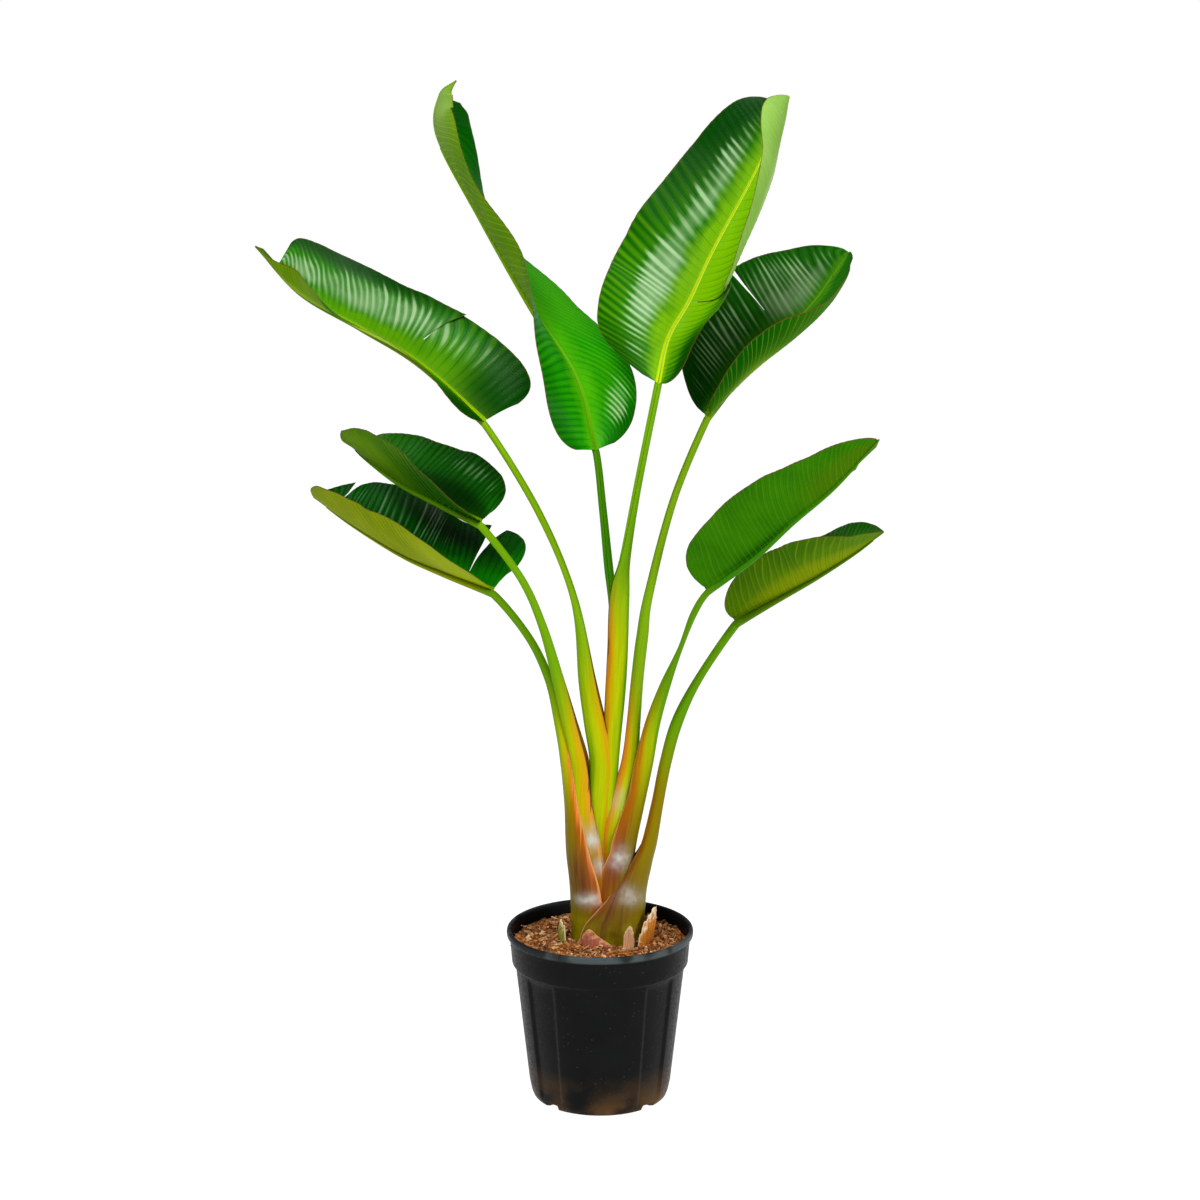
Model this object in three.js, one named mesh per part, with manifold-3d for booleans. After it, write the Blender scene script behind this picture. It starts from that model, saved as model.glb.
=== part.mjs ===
// Giant bird of paradise in a black nursery pot.
// Millimetres, +Z up, origin at the middle of the pot's underside, seen from -Y.
// Eight leaves rise in a two-ranked fan from one crown: their sheaths wrap one another
// at the soil, narrow to channelled stalks and run on as the midribs under the blades.

import * as THREE from 'three';
import Module from 'manifold-3d';

// Gaps between pieces that touch
const GAP = 0.4;

// Nursery pot: rolled rim, plain collar, tapered body with four recessed flutes
const POT_HEIGHT = 252;
const POT_SEGMENTS = 48;
const POT_FLUTES = 4;
const FLUTE_DEPTH = 3;
const FLUTE_HALF_ANGLE = THREE.MathUtils.degToRad(13);
const POT_FLOOR = 12;
// radius, height, share of the flute depth taken off the radius there
const POT_OUTSIDE = [
  [92, 0, 0], [97, 2, 0], [100, 8, 0.2], [103, 24, 1], [122, 194, 1], [123, 199, 0],
  [127.5, 203, 0], [130.5, 240, 0], [133.5, 241.5, 0], [135, 246, 0], [134, 251, 0], [131.5, 252, 0],
];
const POT_INSIDE = [
  [129, 250, 0], [127.2, 238, 0], [124.5, 205, 0], [119, 194, 1], [100, 28, 1], [97, POT_FLOOR, 0],
];
const DRAIN_NOTCH = [30, 26, 18];
const DRAIN_NOTCH_RADIUS = 98;

// Soil: coir and bark, heaped towards the stalks, with chips set into the top
const SOIL_LEVEL = 232;
const SOIL_HEAP = 9;
const SOIL_ROUGHNESS = 3;
const SOIL_RADII = [125, 108, 89, 70];
const SOIL_SEGMENTS = 28;
const SOIL_SIDE = [[95, POT_FLOOR + GAP], [96.2, 28], [115, 194]];
const CHIP_COUNT = 12;
const CHIP_SIZE = [13, 6, 4];
const CHIP_SIZE_SPREAD = 0.3;
const CHIP_RING = [74, 112];
const CHIP_TILT = 15;
const CHIP_RISE = 0.5;

// Hole that the crown and the sheaths stand in
const HOLE_CENTRE = [10, 0];
const HOLE_RADII = [58, 48];
const HOLE_BOTTOM = 140;
const CROWN_TOP = 214;
const SHEATH_BOTTOM = 200;

// Blades
const BLADE_THICKNESS = 1.2;
const BLADE_ROWS = 25;
const BLADE_STEPS = [0.1, 0.36, 0.7, 1];
const PLEAT_HEIGHT = 1.5;
const PLEAT_SHARE = [0, 0.3, 1, 0.85, 0.5];
const WIDEST_AT = 0.38;
const TEAR_HALF_WIDTH = 0.005;
const TEAR_REACH = 0.08;
const DRIP_SHARE = 0.08;
const DRIP_TAPER = 0.04;

// Stalks
const STALK_SIDES = 10;
const STALK_STEPS = 16;
const KEEL_ROWS = 13;
const KEEL_TIP = 1.4;
const KEEL_TAPER = 0.8;
const KEEL_START = 0.1;
const CHANNEL_DEPTH = 0.5;
const CHANNEL_SHARE = 0.2;
// shares of the stalk's length between which the channel opens
const CHANNEL_OPENS = [0.45, 0.8];

// Leaves, outermost sheath last. A rib is the line of the midrib from stalk to tip, face is
// the way the upper side looks along it. Each half has its width, the rise of the half out
// of the flat (lift), its roll towards the margin (curl) and the slant of the veins (sweep)
// from base to tip, in degrees. blunt is the fullness of the outline at base and tip, trim
// the share of the width kept from base to tip, and tip the place where a half ends and its
// narrow drip tip begins.
// A stalk is a list of x, y, z, half thickness and half width; back is the way its
// channel faces at the soil.
const LEAVES = [
  {
    name: 'leaf_2',
    rib: [
      [-5, 40, 940], [-35, 90, 1040], [-100, 160, 1135], [-175, 240, 1255], [-241, 310, 1370],
      [-238, 325, 1430], [-212, 330, 1452],
    ],
    face: [
      [0.1, -1, 0.3], [0.6, -0.8, 0.4], [0.95, -0.35, 0.4], [1, -0.1, 0.4], [1, 0.1, 0.4], [1, 0.1, 0.3],
      [1, 0.1, -0.2],
    ],
    right: {
      width: 110, lift: [20, 18, 16, 4, 42, 52, 40], curl: [-30, -20, 0, 0, 0, 0],
      sweep: [8, 10, 15, 15, 10, -10], blunt: [0.45, 1.2],
    },
    left: {
      width: 92, lift: [25, 28, 22, 8, 16, 22, 10], curl: [-30, -5, 25, 15, 40, 60, 20],
      sweep: [10, 14, 16, 16, 10, 0], blunt: [0.38, 0.85],
      trim: [1, 1, 1, 1, 1, 1, 0.98, 0.72, 0.62, 0.7, 0.7],
    },
    keelEnd: 0.64,
    tears: [],
    back: [-0.5, -0.8, 0],
    stalk: [
      [4, 2, 190, 9, 10], [8, 6, 400, 8, 9], [18, 13, 560, 7, 7.5], [20, 18, 700, 6.2, 6.8],
      [12, 20, 780, 6, 6.5], [4, 26, 860, 5.2, 5.6],
    ],
  },
  {
    name: 'leaf_3',
    rib: [
      [80, 0, 1040], [95, 30, 1100], [125, 60, 1150], [160, 90, 1220], [215, 140, 1315],
      [250, 170, 1385], [270, 190, 1430],
    ],
    face: [[-0.1, -1, 0.3], [-0.2, -1, 0.35], [-0.3, -1, 0.4]],
    right: {
      width: 122, lift: [15, 20, 16, 12, 26, 45], curl: [10, 45, 82, 122, 148, 130],
      sweep: [0, 5, 12, 14, 8, -10], blunt: [0.5, 0.56], trim: [0.42, 0.6, 0.9, 1.05, 1.1, 1.15],
    },
    left: {
      width: 132, lift: [5, 8, 8, 5, 0], curl: [-25, -30, -30, -20, -10], sweep: [22, 6, 14, 18, 22],
      blunt: [0.58, 0.42], tip: 0.94,
    },
    keelEnd: 0.9,
    tears: [{ side: 'right', at: 0.33, from: 0.1, gape: -4, droop: 8 }],
    back: [-1, 0.2, 0],
    stalk: [
      [8, 0, 190, 14, 16], [10, -1, 380, 11, 12], [15, -3, 500, 12, 11], [22, -4, 620, 15.6, 10],
      [27.5, -4, 740, 14.3, 9], [36, -4, 800, 8.4, 7], [53, -3, 900, 5.4, 5.6],
    ],
  },
  {
    name: 'leaf_1',
    rib: [[-160, 20, 985], [-255, 80, 1060], [-345, 140, 1105], [-436, 195, 1149], [-505, 240, 1215]],
    face: [[0, -0.35, 1], [0.1, -0.4, 1], [0.2, -0.45, 1]],
    right: {
      width: 118, lift: [34, 37, 35, 30, 25], curl: [-20, -35, -35, -15, 0], sweep: [-12, -6, 4, 14, 46],
      blunt: [0.3, 0.14], trim: [1.1, 0.92, 0.95, 0.9, 0.64], tip: 0.88,
    },
    left: {
      width: 100, lift: [18, 43, 42, 38, 35, 34, 33, 33, 32, 32, 32],
      curl: [-5, -4, -2, 0, 2, 14, 40, 58, 60, 50, 40],
      sweep: [6, 6, 10, 14, 10], blunt: [0.8, 0.75], trim: [1, 1, 1, 1, 0.85, 0.65],
    },
    keelEnd: 0.9,
    tears: [{ side: 'right', at: 0.3, from: 0.3, gape: -9, droop: 5 }],
    back: [1, 0, 0],
    stalk: [
      [2, 1, 190, 17, 20], [0, 0, 370, 14, 17], [0, -2, 440, 17, 14], [3, -4, 500, 18, 13],
      [-7, -6, 560, 16.4, 11], [-18, -7, 620, 13.2, 9], [-37, -6, 740, 5, 6], [-86, 2, 860, 4.8, 5.2],
    ],
  },
  {
    name: 'leaf_4',
    rib: [[150, 80, 985], [195, 130, 1030], [250, 190, 1075], [315, 260, 1130], [375, 340, 1200]],
    face: [[-0.35, -0.35, 1], [-0.35, -0.35, 1], [-0.35, -0.3, 1]],
    right: {
      width: 106, lift: [15, 8, 0, -5, -5], curl: [75, 84, 64, 64, 55], sweep: [-10, 8, 18, 24, 30],
      blunt: [0.42, 0.85],
    },
    left: {
      width: 136, lift: [38, 44, 44, 38, 30], curl: [-20, -10, -10, 0, 0], sweep: [18, 12, 16, 18, 15],
      blunt: [0.5, 0.55], trim: [0.6, 0.85, 0.96, 1.06, 1.06],
    },
    keelEnd: 0.9,
    tears: [{ side: 'left', at: 0.57, from: 0.36, gape: 3, droop: 2 }],
    back: [-1, 0.3, 0],
    stalk: [
      [14, 0, 190, 20, 24], [16, -1, 370, 17, 20], [28, -2, 440, 14, 15], [42, -1, 500, 12, 12],
      [48, 2, 560, 10, 10], [53, 6, 620, 9, 8.8], [60, 11, 680, 8.6, 8], [69, 16, 740, 6.6, 6.6],
      [104, 44, 870, 5.2, 5.6],
    ],
  },
  {
    name: 'leaf_7',
    rib: [[-165, -20, 850], [-228, 60, 864], [-290, 145, 878], [-346, 212, 905], [-372, 245, 922]],
    face: [[0.2, 0.1, 1], [0.2, 0.1, 1], [0.2, 0.1, 1]],
    right: {
      width: 107, lift: [50, 50, 42, 36, 25], curl: [-20, -20, -10, 0, 0], sweep: [8, 5, 10, 15, 20],
      blunt: [0.42, 0.8],
    },
    left: {
      width: 96, lift: [15, 34, 40, 30, 12], curl: [10, 10, 10, 0, 0], sweep: [-20, 8, 16, 10, -4],
      blunt: [0.42, 0.8],
    },
    keelEnd: 0.9,
    tears: [],
    back: [1, -0.3, 0],
    stalk: [
      [4, 2, 190, 27, 32], [0, 2, 300, 27, 32], [-11, 0, 370, 21, 27], [-24, -2, 440, 17, 20],
      [-30, -4, 500, 15, 15], [-44, -6, 560, 11.6, 11], [-59, -8, 620, 8.8, 8.6],
      [-81, -12, 700, 6.2, 6.4], [-111, -18, 770, 5.4, 5.8],
    ],
  },
  {
    name: 'leaf_5',
    rib: [[145, -100, 770], [203, -190, 832], [249, -260, 891], [298, -320, 947], [345, -380, 1015]],
    face: [[-0.3, 0.3, 1], [-0.3, 0.3, 1], [-0.3, 0.2, 1]],
    right: {
      width: 88, lift: [60, 50, 42, 38, 30], curl: [0, 0, 0, 0, 0], sweep: [-8, 8, 18, 28, 40],
      blunt: [0.45, 0.7], trim: [1, 0.95, 0.93, 0.98, 1],
    },
    left: {
      width: 90, lift: [34, 30, 26, 22, 18], curl: [0, 0, 0, 0, 0], sweep: [14, 10, 18, 26, 30],
      blunt: [0.42, 0.8], trim: [0.95, 0.94, 0.97, 1, 1],
    },
    keelEnd: 0.9,
    tears: [{ side: 'left', at: 0.6, from: 0.36, gape: 5, droop: -6 }],
    back: [-1, 0.2, 0],
    stalk: [
      [14, 0, 190, 29, 33], [18, -2, 300, 27, 32], [28, -4, 370, 23, 28], [50, -8, 440, 14, 17],
      [62, -14, 500, 13.5, 12], [74, -24, 560, 11, 9], [91, -42, 620, 7.8, 7], [112, -62, 680, 3.4, 4.4],
      [129, -83, 732, 4.6, 5],
    ],
  },
  {
    name: 'leaf_8',
    rib: [[-150, 20, 745], [-230, 100, 758], [-295, 170, 771], [-375, 240, 804], [-435, 300, 834]],
    face: [[0.2, 0.1, 1], [0.2, 0.1, 1], [0.2, 0.1, 1]],
    right: {
      width: 122, lift: [50, 46, 44, 46, 35], curl: [-30, -20, 0, 0, 0], sweep: [13, 31, 16, 14, 10],
      blunt: [0.42, 0.55], trim: [1.6, 0.95, 0.93, 0.98, 1],
    },
    left: {
      width: 100, lift: [18, 18, 20, 20, 20], curl: [10, 34, 36, 34, 30], sweep: [0, 8, 18, 24, 30],
      blunt: [0.45, 0.75],
    },
    keelEnd: 0.9,
    tears: [
      { side: 'right', at: 0.13, from: 0.1, gape: 15, droop: 0 },
      { side: 'right', at: 0.87, from: 0.36, gape: 5, droop: 0 },
    ],
    back: [1, -0.2, 0],
    stalk: [
      [-6, 3, 190, 35, 38], [-9, 2, 300, 34, 38], [-24, 1, 370, 25, 31], [-36, 1, 440, 15, 21],
      [-46, 2, 500, 10.5, 13], [-58, 4, 560, 8, 9], [-73, 7, 620, 6.5, 7], [-102, 11, 680, 5.6, 6],
    ],
  },
  {
    name: 'leaf_6',
    rib: [[190, 5, 705], [240, -45, 745], [295, -85, 785], [345, -120, 825], [380, -155, 860]],
    face: [[-0.3, 0.2, 1], [-0.3, 0.2, 1], [-0.3, 0.1, 1]],
    right: {
      width: 90, lift: [45, 35, 27, 20, 10], curl: [10, 10, 10, 0, 0], sweep: [0, 14, 18, 28, 40],
      blunt: [0.5, 0.8], trim: [0.6, 0.88, 1.08, 1.05, 1],
    },
    left: {
      width: 100, lift: [25, 32, 34, 32, 18], curl: [0, 0, 0, 0, 0], sweep: [12, 4, 6, 0, -10],
      blunt: [0.42, 0.8], trim: [0.6, 0.82, 1, 1, 1],
    },
    keelEnd: 0.9,
    tears: [],
    back: [-1, 0.2, 0],
    stalk: [
      [24, -3, 190, 35, 38], [32, -4, 290, 34, 38], [58, -5, 350, 17, 26], [71, -6, 385, 11.5, 17],
      [82, -6, 440, 9, 11], [93.5, -6, 500, 8.6, 9], [110, -5, 560, 8.4, 8], [140, -3, 622, 6, 6.4],
    ],
  },
];

// Old leaf bases and dry pieces round the crown: plates on an oval round the sheaths.
// angles are taken from +X, heights run from the lower to the upper end, and the top
// edge is cut to the given shares of the height between the first and the last angle.
const OLD_BASES = [
  {
    name: 'basal_scale', colour: 0x9c5f70, centre: [10, -2], radii: [54.2, 43.2], angles: [-140, -80],
    bottom: 203, top: 263, crest: [0.6, 0.85, 1, 0.86, 0.72, 0.6], flare: 0, thickness: 1.4,
  },
  {
    name: 'cut_stub_right', colour: 0xb87a2e, centre: [10, 0], radii: [62, 53], angles: [-46, -2],
    bottom: 205, top: 288, crest: [0.56, 0.8, 0.94, 1, 0.9, 0.94], flare: 10, thickness: 4,
  },
  {
    name: 'cut_stub_left', colour: 0xa9a450, centre: [10, 0], radii: [64, 60], angles: [186, 206],
    bottom: 205, top: 267, crest: [0.8, 1, 0.9, 0.94], flare: 3, thickness: 5,
  },
  {
    name: 'dry_shred', colour: 0xc6a07c, centre: [10, 0], radii: [62, 58], angles: [-69, -53],
    bottom: 208, top: 271, crest: [0.8, 1, 0.94, 0.6], flare: 7, thickness: 1.6,
  },
];
const OLD_BASE_COLUMNS = 10;
const OLD_BASE_ROWS = 3;

const COLOURS = { pot: 0x1a1b1d, soil: 0x5b3a22, crown: 0x8a7a45, blade: 0x1d6018, stalk: 0x8fae22 };
const ROUGHNESS = { pot: 0.45, soil: 0.95, crown: 0.8, blade: 0.35, stalk: 0.45, old: 0.8 };

// Seeded random numbers, so that soil and chips fall the same way every time
function randomSource(seed) {
  let state = seed;
  return () => {
    state = (state * 1664525 + 1013904223) % 4294967296;
    return state / 4294967296;
  };
}

// Smooth curve through evenly spaced values or points
function smoothValue(values, t) {
  const last = values.length - 1;
  const place = Math.min(Math.max(t, 0), 1) * last;
  const i = Math.min(Math.floor(place), last - 1);
  const u = place - i;
  const before = i > 0 ? values[i - 1] : 2 * values[0] - values[1];
  const after = i + 2 <= last ? values[i + 2] : 2 * values[last] - values[last - 1];
  const slopeIn = (values[i + 1] - before) / 2;
  const slopeOut = (after - values[i]) / 2;
  const rise = values[i + 1] - values[i];
  return values[i] + slopeIn * u + (3 * rise - 2 * slopeIn - slopeOut) * u * u
    + (slopeIn + slopeOut - 2 * rise) * u * u * u;
}

function smoothPoint(points, t) {
  const axis = (k) => smoothValue(points.map((p) => p[k]), t);
  return new THREE.Vector3(axis(0), axis(1), axis(2));
}

function smoothAngle(degrees, t) {
  return THREE.MathUtils.degToRad(smoothValue(degrees, t));
}

// Midrib point, its direction, the way the upper side faces and the way the right half lies
function ribFrame(leaf, t) {
  const step = 0.001;
  const point = smoothPoint(leaf.rib, t);
  const ahead = smoothPoint(leaf.rib, Math.min(t + step, 1));
  const along = ahead.sub(smoothPoint(leaf.rib, Math.max(t - step, 0))).normalize();
  const up = smoothPoint(leaf.face, t);
  up.addScaledVector(along, -up.dot(along)).normalize();
  const right = new THREE.Vector3().crossVectors(along, up);
  return { point, along, up, right };
}

// Half width of a blade at t; past its tip a half runs on as a narrow drip tip
function halfWidth(half, t) {
  const skew = Math.log(0.5) / Math.log(WIDEST_AT);
  const { width, blunt, tip = 1, trim = [1, 1] } = half;
  const u = Math.min(t / tip, 1);
  const fullness = blunt[0] + (blunt[1] - blunt[0]) * u;
  const full = Math.max(Math.sin(Math.PI * u ** skew), 0) ** fullness;
  const narrow = tip < 1 && t > WIDEST_AT ? DRIP_SHARE * Math.min((1 - t) / DRIP_TAPER, 1) : 0;
  return width * Math.max(full, narrow) * smoothValue(trim, t);
}

// One point of a blade's upper side with its normal; s runs from midrib to margin
function bladePoint(leaf, side, t, s, pleat) {
  const half = leaf[side];
  const frame = ribFrame(leaf, t);
  const outward = frame.right.clone().multiplyScalar(side === 'right' ? 1 : -1);
  const width = halfWidth(half, t);
  const lift = smoothAngle(half.lift, t);
  const roll = smoothAngle(half.curl, t);
  const curl = Math.abs(roll) < 0.001 ? 0.001 : roll;
  const angle = lift + curl * s;
  const normal = frame.up.clone().multiplyScalar(Math.cos(angle)).addScaledVector(outward, -Math.sin(angle));
  let forward = width * s * Math.tan(smoothAngle(half.sweep, t));
  let raise = pleat;
  for (const tear of leaf.tears.filter((tear) => tear.side === side)) {
    const reach = Math.max(0, (s - tear.from) / (1 - tear.from));
    const near = Math.exp(-Math.abs(t - tear.at) / TEAR_REACH);
    forward += tear.gape * Math.sign(t - tear.at) * near * reach ** 2;
    raise += (t > tear.at ? tear.droop : 0) * near * reach ** 2;
  }
  const point = frame.point.clone()
    .addScaledVector(outward, (width * (Math.sin(angle) - Math.sin(lift))) / curl)
    .addScaledVector(frame.up, (width * (Math.cos(lift) - Math.cos(angle))) / curl)
    .addScaledVector(frame.along, forward)
    .addScaledVector(normal, raise);
  return { point, normal };
}

// Rows of a blade from base to tip, with a close pair of rows at each tear
function bladeRows(leaf) {
  const step = 1 / (BLADE_ROWS - 1);
  const rows = [];
  for (let i = 0; i < BLADE_ROWS; i += 1) {
    const t = Math.min(Math.max(i * step, TEAR_HALF_WIDTH), 1 - TEAR_HALF_WIDTH);
    if (leaf.tears.every((tear) => Math.abs(t - tear.at) > step * 0.6)) {
      rows.push({ t, torn: null });
    }
  }
  for (const tear of leaf.tears) {
    rows.push({ t: tear.at - TEAR_HALF_WIDTH, torn: tear });
    rows.push({ t: tear.at + TEAR_HALF_WIDTH, torn: null });
  }
  return rows.sort((a, b) => a.t - b.t);
}

// Closed plate from a grid of points with normals; kept cells only
function plate(grid, thickness, kept) {
  const positions = [];
  const index = [];
  const columns = grid[0].length;
  const rows = grid.length;
  for (const row of grid) {
    for (const { point, normal } of row) {
      positions.push(point.x, point.y, point.z);
      positions.push(...point.clone().addScaledVector(normal, -thickness).toArray());
    }
  }
  const top = (i, j) => 2 * (i * columns + j);
  const isKept = (i, j) => i >= 0 && j >= 0 && i < rows - 1 && j < columns - 1 && kept(i, j);
  const wall = (a, b) => index.push(a, a + 1, b, b, a + 1, b + 1);
  for (let i = 0; i < rows - 1; i += 1) {
    for (let j = 0; j < columns - 1; j += 1) {
      if (isKept(i, j)) {
        const [a, b, c, d] = [top(i, j), top(i, j + 1), top(i + 1, j + 1), top(i + 1, j)];
        index.push(a, b, c, a, c, d);
        index.push(a + 1, c + 1, b + 1, a + 1, d + 1, c + 1);
        if (!isKept(i - 1, j)) wall(a, b);
        if (!isKept(i, j + 1)) wall(b, c);
        if (!isKept(i + 1, j)) wall(c, d);
        if (!isKept(i, j - 1)) wall(d, a);
      }
    }
  }
  return { positions, index };
}

// Blade: both halves in one pleated sheet, open along its tears
function blade(leaf) {
  const rows = bladeRows(leaf);
  const columns = [...BLADE_STEPS.map((s) => -s).reverse(), 0, ...BLADE_STEPS];
  let side = 1;
  const grid = rows.map(({ t, torn }, i) => {
    if (i > 0 && rows[i - 1].torn === null) side = -side;
    return columns.map((s, j) => {
      const steps = Math.abs(j - BLADE_STEPS.length);
      const pleat = side * PLEAT_HEIGHT * PLEAT_SHARE[steps];
      if (s !== 0) return bladePoint(leaf, s > 0 ? 'right' : 'left', t, Math.abs(s), pleat);
      const left = bladePoint(leaf, 'left', t, 0, 0);
      const right = bladePoint(leaf, 'right', t, 0, 0);
      return { point: right.point, normal: left.normal.add(right.normal).normalize() };
    });
  });
  const kept = (i, j) => {
    const tear = rows[i].torn;
    if (!tear) return true;
    const nearest = Math.min(Math.abs(columns[j]), Math.abs(columns[j + 1]));
    const onSide = tear.side === 'right' ? j >= BLADE_STEPS.length : j < BLADE_STEPS.length;
    return !(onSide && nearest >= tear.from - 0.001);
  };
  return plate(grid, BLADE_THICKNESS, kept);
}

// Rings of points closed by flat caps
function loft(rings) {
  const sides = rings[0].length;
  const positions = [];
  const index = [];
  const centre = (ring) => ring.reduce((sum, p) => sum.add(p), new THREE.Vector3()).divideScalar(sides);
  for (const ring of rings) {
    for (const p of ring) positions.push(p.x, p.y, p.z);
  }
  for (let i = 0; i < rings.length - 1; i += 1) {
    for (let j = 0; j < sides; j += 1) {
      const [a, b] = [i * sides + j, i * sides + ((j + 1) % sides)];
      index.push(a, b, b + sides, a, b + sides, a + sides);
    }
  }
  const first = positions.length / 3;
  const lastRing = (rings.length - 1) * sides;
  positions.push(...centre(rings[0]).toArray(), ...centre(rings[rings.length - 1]).toArray());
  for (let j = 0; j < sides; j += 1) {
    const next = (j + 1) % sides;
    index.push(first, next, j, first + 1, lastRing + j, lastRing + next);
  }
  return { positions, index };
}

// Stalk from the crown to the blade and on as the keel under the midrib
function stalk(leaf, grow) {
  const start = ribFrame(leaf, 0);
  const last = leaf.stalk[leaf.stalk.length - 1];
  const under = BLADE_THICKNESS + GAP;
  const seat = (t, half) => {
    const frame = ribFrame(leaf, t);
    return frame.point.clone().addScaledVector(frame.up, -(under + half));
  };
  const neck = last[3];
  const onward = [seat(0, neck).toArray(), seat(KEEL_START, neck).toArray()];
  const path = [...leaf.stalk.map((p) => p.slice(0, 3)), ...onward];
  const thick = [...leaf.stalk.map((p) => p[3]), neck, neck];
  const wide = [...leaf.stalk.map((p) => p[4]), neck, neck];
  const end = (path.length - 2) / (path.length - 1);
  const stations = [];
  for (let i = 0; i <= STALK_STEPS; i += 1) {
    const share = i / STALK_STEPS;
    const t = share * end;
    const ahead = smoothPoint(path, Math.min(t + 0.002, 1));
    const along = ahead.sub(smoothPoint(path, Math.max(t - 0.002, 0))).normalize();
    const up = new THREE.Vector3(...leaf.back).lerp(start.up, THREE.MathUtils.smoothstep(share, 0.3, 1));
    up.addScaledVector(along, -up.dot(along)).normalize();
    const point = smoothPoint(path, t);
    stations.push({ point, along, up, thick: smoothValue(thick, t), wide: smoothValue(wide, t) });
  }
  for (let i = 1; i <= KEEL_ROWS; i += 1) {
    const share = i / KEEL_ROWS;
    const half = neck + (KEEL_TIP - neck) * share ** KEEL_TAPER;
    const t = share * leaf.keelEnd;
    const { along, up } = ribFrame(leaf, t);
    stations.push({ point: seat(t, half), along, up, thick: half, wide: half });
  }
  const rings = stations.map((station, i) => {
    const { point, along, up, thick: halfThick, wide: halfWide } = station;
    const across = new THREE.Vector3().crossVectors(along, up);
    const share = i / STALK_STEPS;
    const channel = share < 1 ? CHANNEL_DEPTH * THREE.MathUtils.smoothstep(share, ...CHANNEL_OPENS) : 0;
    const ring = [];
    for (let j = 0; j < STALK_SIDES; j += 1) {
      const angle = (2 * Math.PI * j) / STALK_SIDES;
      const nearTop = Math.max(0, Math.cos(angle) - 1 + CHANNEL_SHARE) / CHANNEL_SHARE;
      const rise = Math.cos(angle) * (halfThick + grow) - channel * nearTop * halfThick;
      const reach = Math.sin(angle) * (halfWide + grow);
      ring.push(point.clone().addScaledVector(up, rise).addScaledVector(across, reach));
    }
    return ring;
  });
  return loft(rings);
}

// Pot: one turned shell, its flutes pressed in and its foot notched for drainage
function pot(solids) {
  const profile = [...POT_OUTSIDE, ...POT_INSIDE];
  const rings = profile.map(([radius, height, share]) => {
    const ring = [];
    for (let j = 0; j < POT_SEGMENTS; j += 1) {
      const angle = (2 * Math.PI * j) / POT_SEGMENTS;
      const pitch = (2 * Math.PI) / POT_FLUTES;
      const offset = Math.abs((((angle - pitch / 2) % pitch) + pitch * 1.5) % pitch - pitch / 2);
      const pressed = offset < FLUTE_HALF_ANGLE ? FLUTE_DEPTH * share : 0;
      const r = radius - pressed;
      ring.push(new THREE.Vector3(r * Math.cos(angle), r * Math.sin(angle), height));
    }
    return ring;
  });
  let shell = solids.from(loft(rings));
  for (let k = 0; k < POT_FLUTES; k += 1) {
    const degrees = (360 / POT_FLUTES) * (k + 0.5);
    const notch = solids.box(DRAIN_NOTCH).translate([DRAIN_NOTCH_RADIUS, 0, 0]).rotate([0, 0, degrees]);
    shell = shell.subtract(notch);
  }
  return shell;
}

// Soil: a filled body with an uneven top, bark chips set into it
function soil(solids, random) {
  const rings = [];
  const ringAt = (radius, height) => {
    const ring = [];
    for (let j = 0; j < SOIL_SEGMENTS; j += 1) {
      const angle = (2 * Math.PI * j) / SOIL_SEGMENTS;
      ring.push(new THREE.Vector3(radius * Math.cos(angle), radius * Math.sin(angle), height()));
    }
    return ring;
  };
  for (const [radius, height] of SOIL_SIDE) rings.push(ringAt(radius, () => height));
  for (const radius of SOIL_RADII) {
    const heap = SOIL_HEAP * (1 - radius / SOIL_RADII[0]);
    const rough = radius === SOIL_RADII[0] ? SOIL_ROUGHNESS / 2 : SOIL_ROUGHNESS;
    rings.push(ringAt(radius, () => SOIL_LEVEL + heap + rough * (2 * random() - 1)));
  }
  let body = solids.from(loft(rings));
  for (let k = 0; k < CHIP_COUNT; k += 1) {
    const angle = 2 * Math.PI * random();
    const radius = THREE.MathUtils.lerp(...CHIP_RING, random());
    const size = CHIP_SIZE.map((edge) => edge * (1 + CHIP_SIZE_SPREAD * (2 * random() - 1)));
    const turn = [CHIP_TILT * (2 * random() - 1), CHIP_TILT * (2 * random() - 1), 360 * random()];
    const level = SOIL_LEVEL + SOIL_HEAP * (1 - radius / SOIL_RADII[0]) + CHIP_RISE;
    const place = [radius * Math.cos(angle), radius * Math.sin(angle), level - size[2] / 2];
    body = body.add(solids.box(size).rotate(turn).translate(place));
  }
  return body;
}

// Old leaf base: a curved plate with a cut or torn upper edge
function oldBase(base, grow) {
  const grid = [];
  const side = (column) => {
    const share = column / OLD_BASE_COLUMNS;
    const margin = grow * (share < 0.5 ? -1 : 1) * (column === 0 || column === OLD_BASE_COLUMNS ? 1 : 0);
    const degrees = base.angles[0] + (base.angles[1] - base.angles[0]) * share + margin;
    return THREE.MathUtils.degToRad(degrees);
  };
  for (let i = 0; i <= OLD_BASE_ROWS; i += 1) {
    const row = [];
    for (let j = 0; j <= OLD_BASE_COLUMNS; j += 1) {
      const angle = side(j);
      const crest = smoothValue(base.crest, j / OLD_BASE_COLUMNS);
      const share = (i / OLD_BASE_ROWS) * crest;
      const height = base.bottom - grow + (base.top + 2 * grow - base.bottom) * share;
      const flare = base.flare * share * share;
      const normal = new THREE.Vector3(Math.cos(angle), Math.sin(angle), 0);
      const point = new THREE.Vector3(
        base.centre[0] + (base.radii[0] + flare) * Math.cos(angle),
        base.centre[1] + (base.radii[1] + flare) * Math.sin(angle),
        height,
      );
      point.addScaledVector(normal, base.thickness + grow);
      row.push({ point, normal });
    }
    grid.push(row);
  }
  return plate(grid, base.thickness + 2 * grow, () => true);
}

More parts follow.
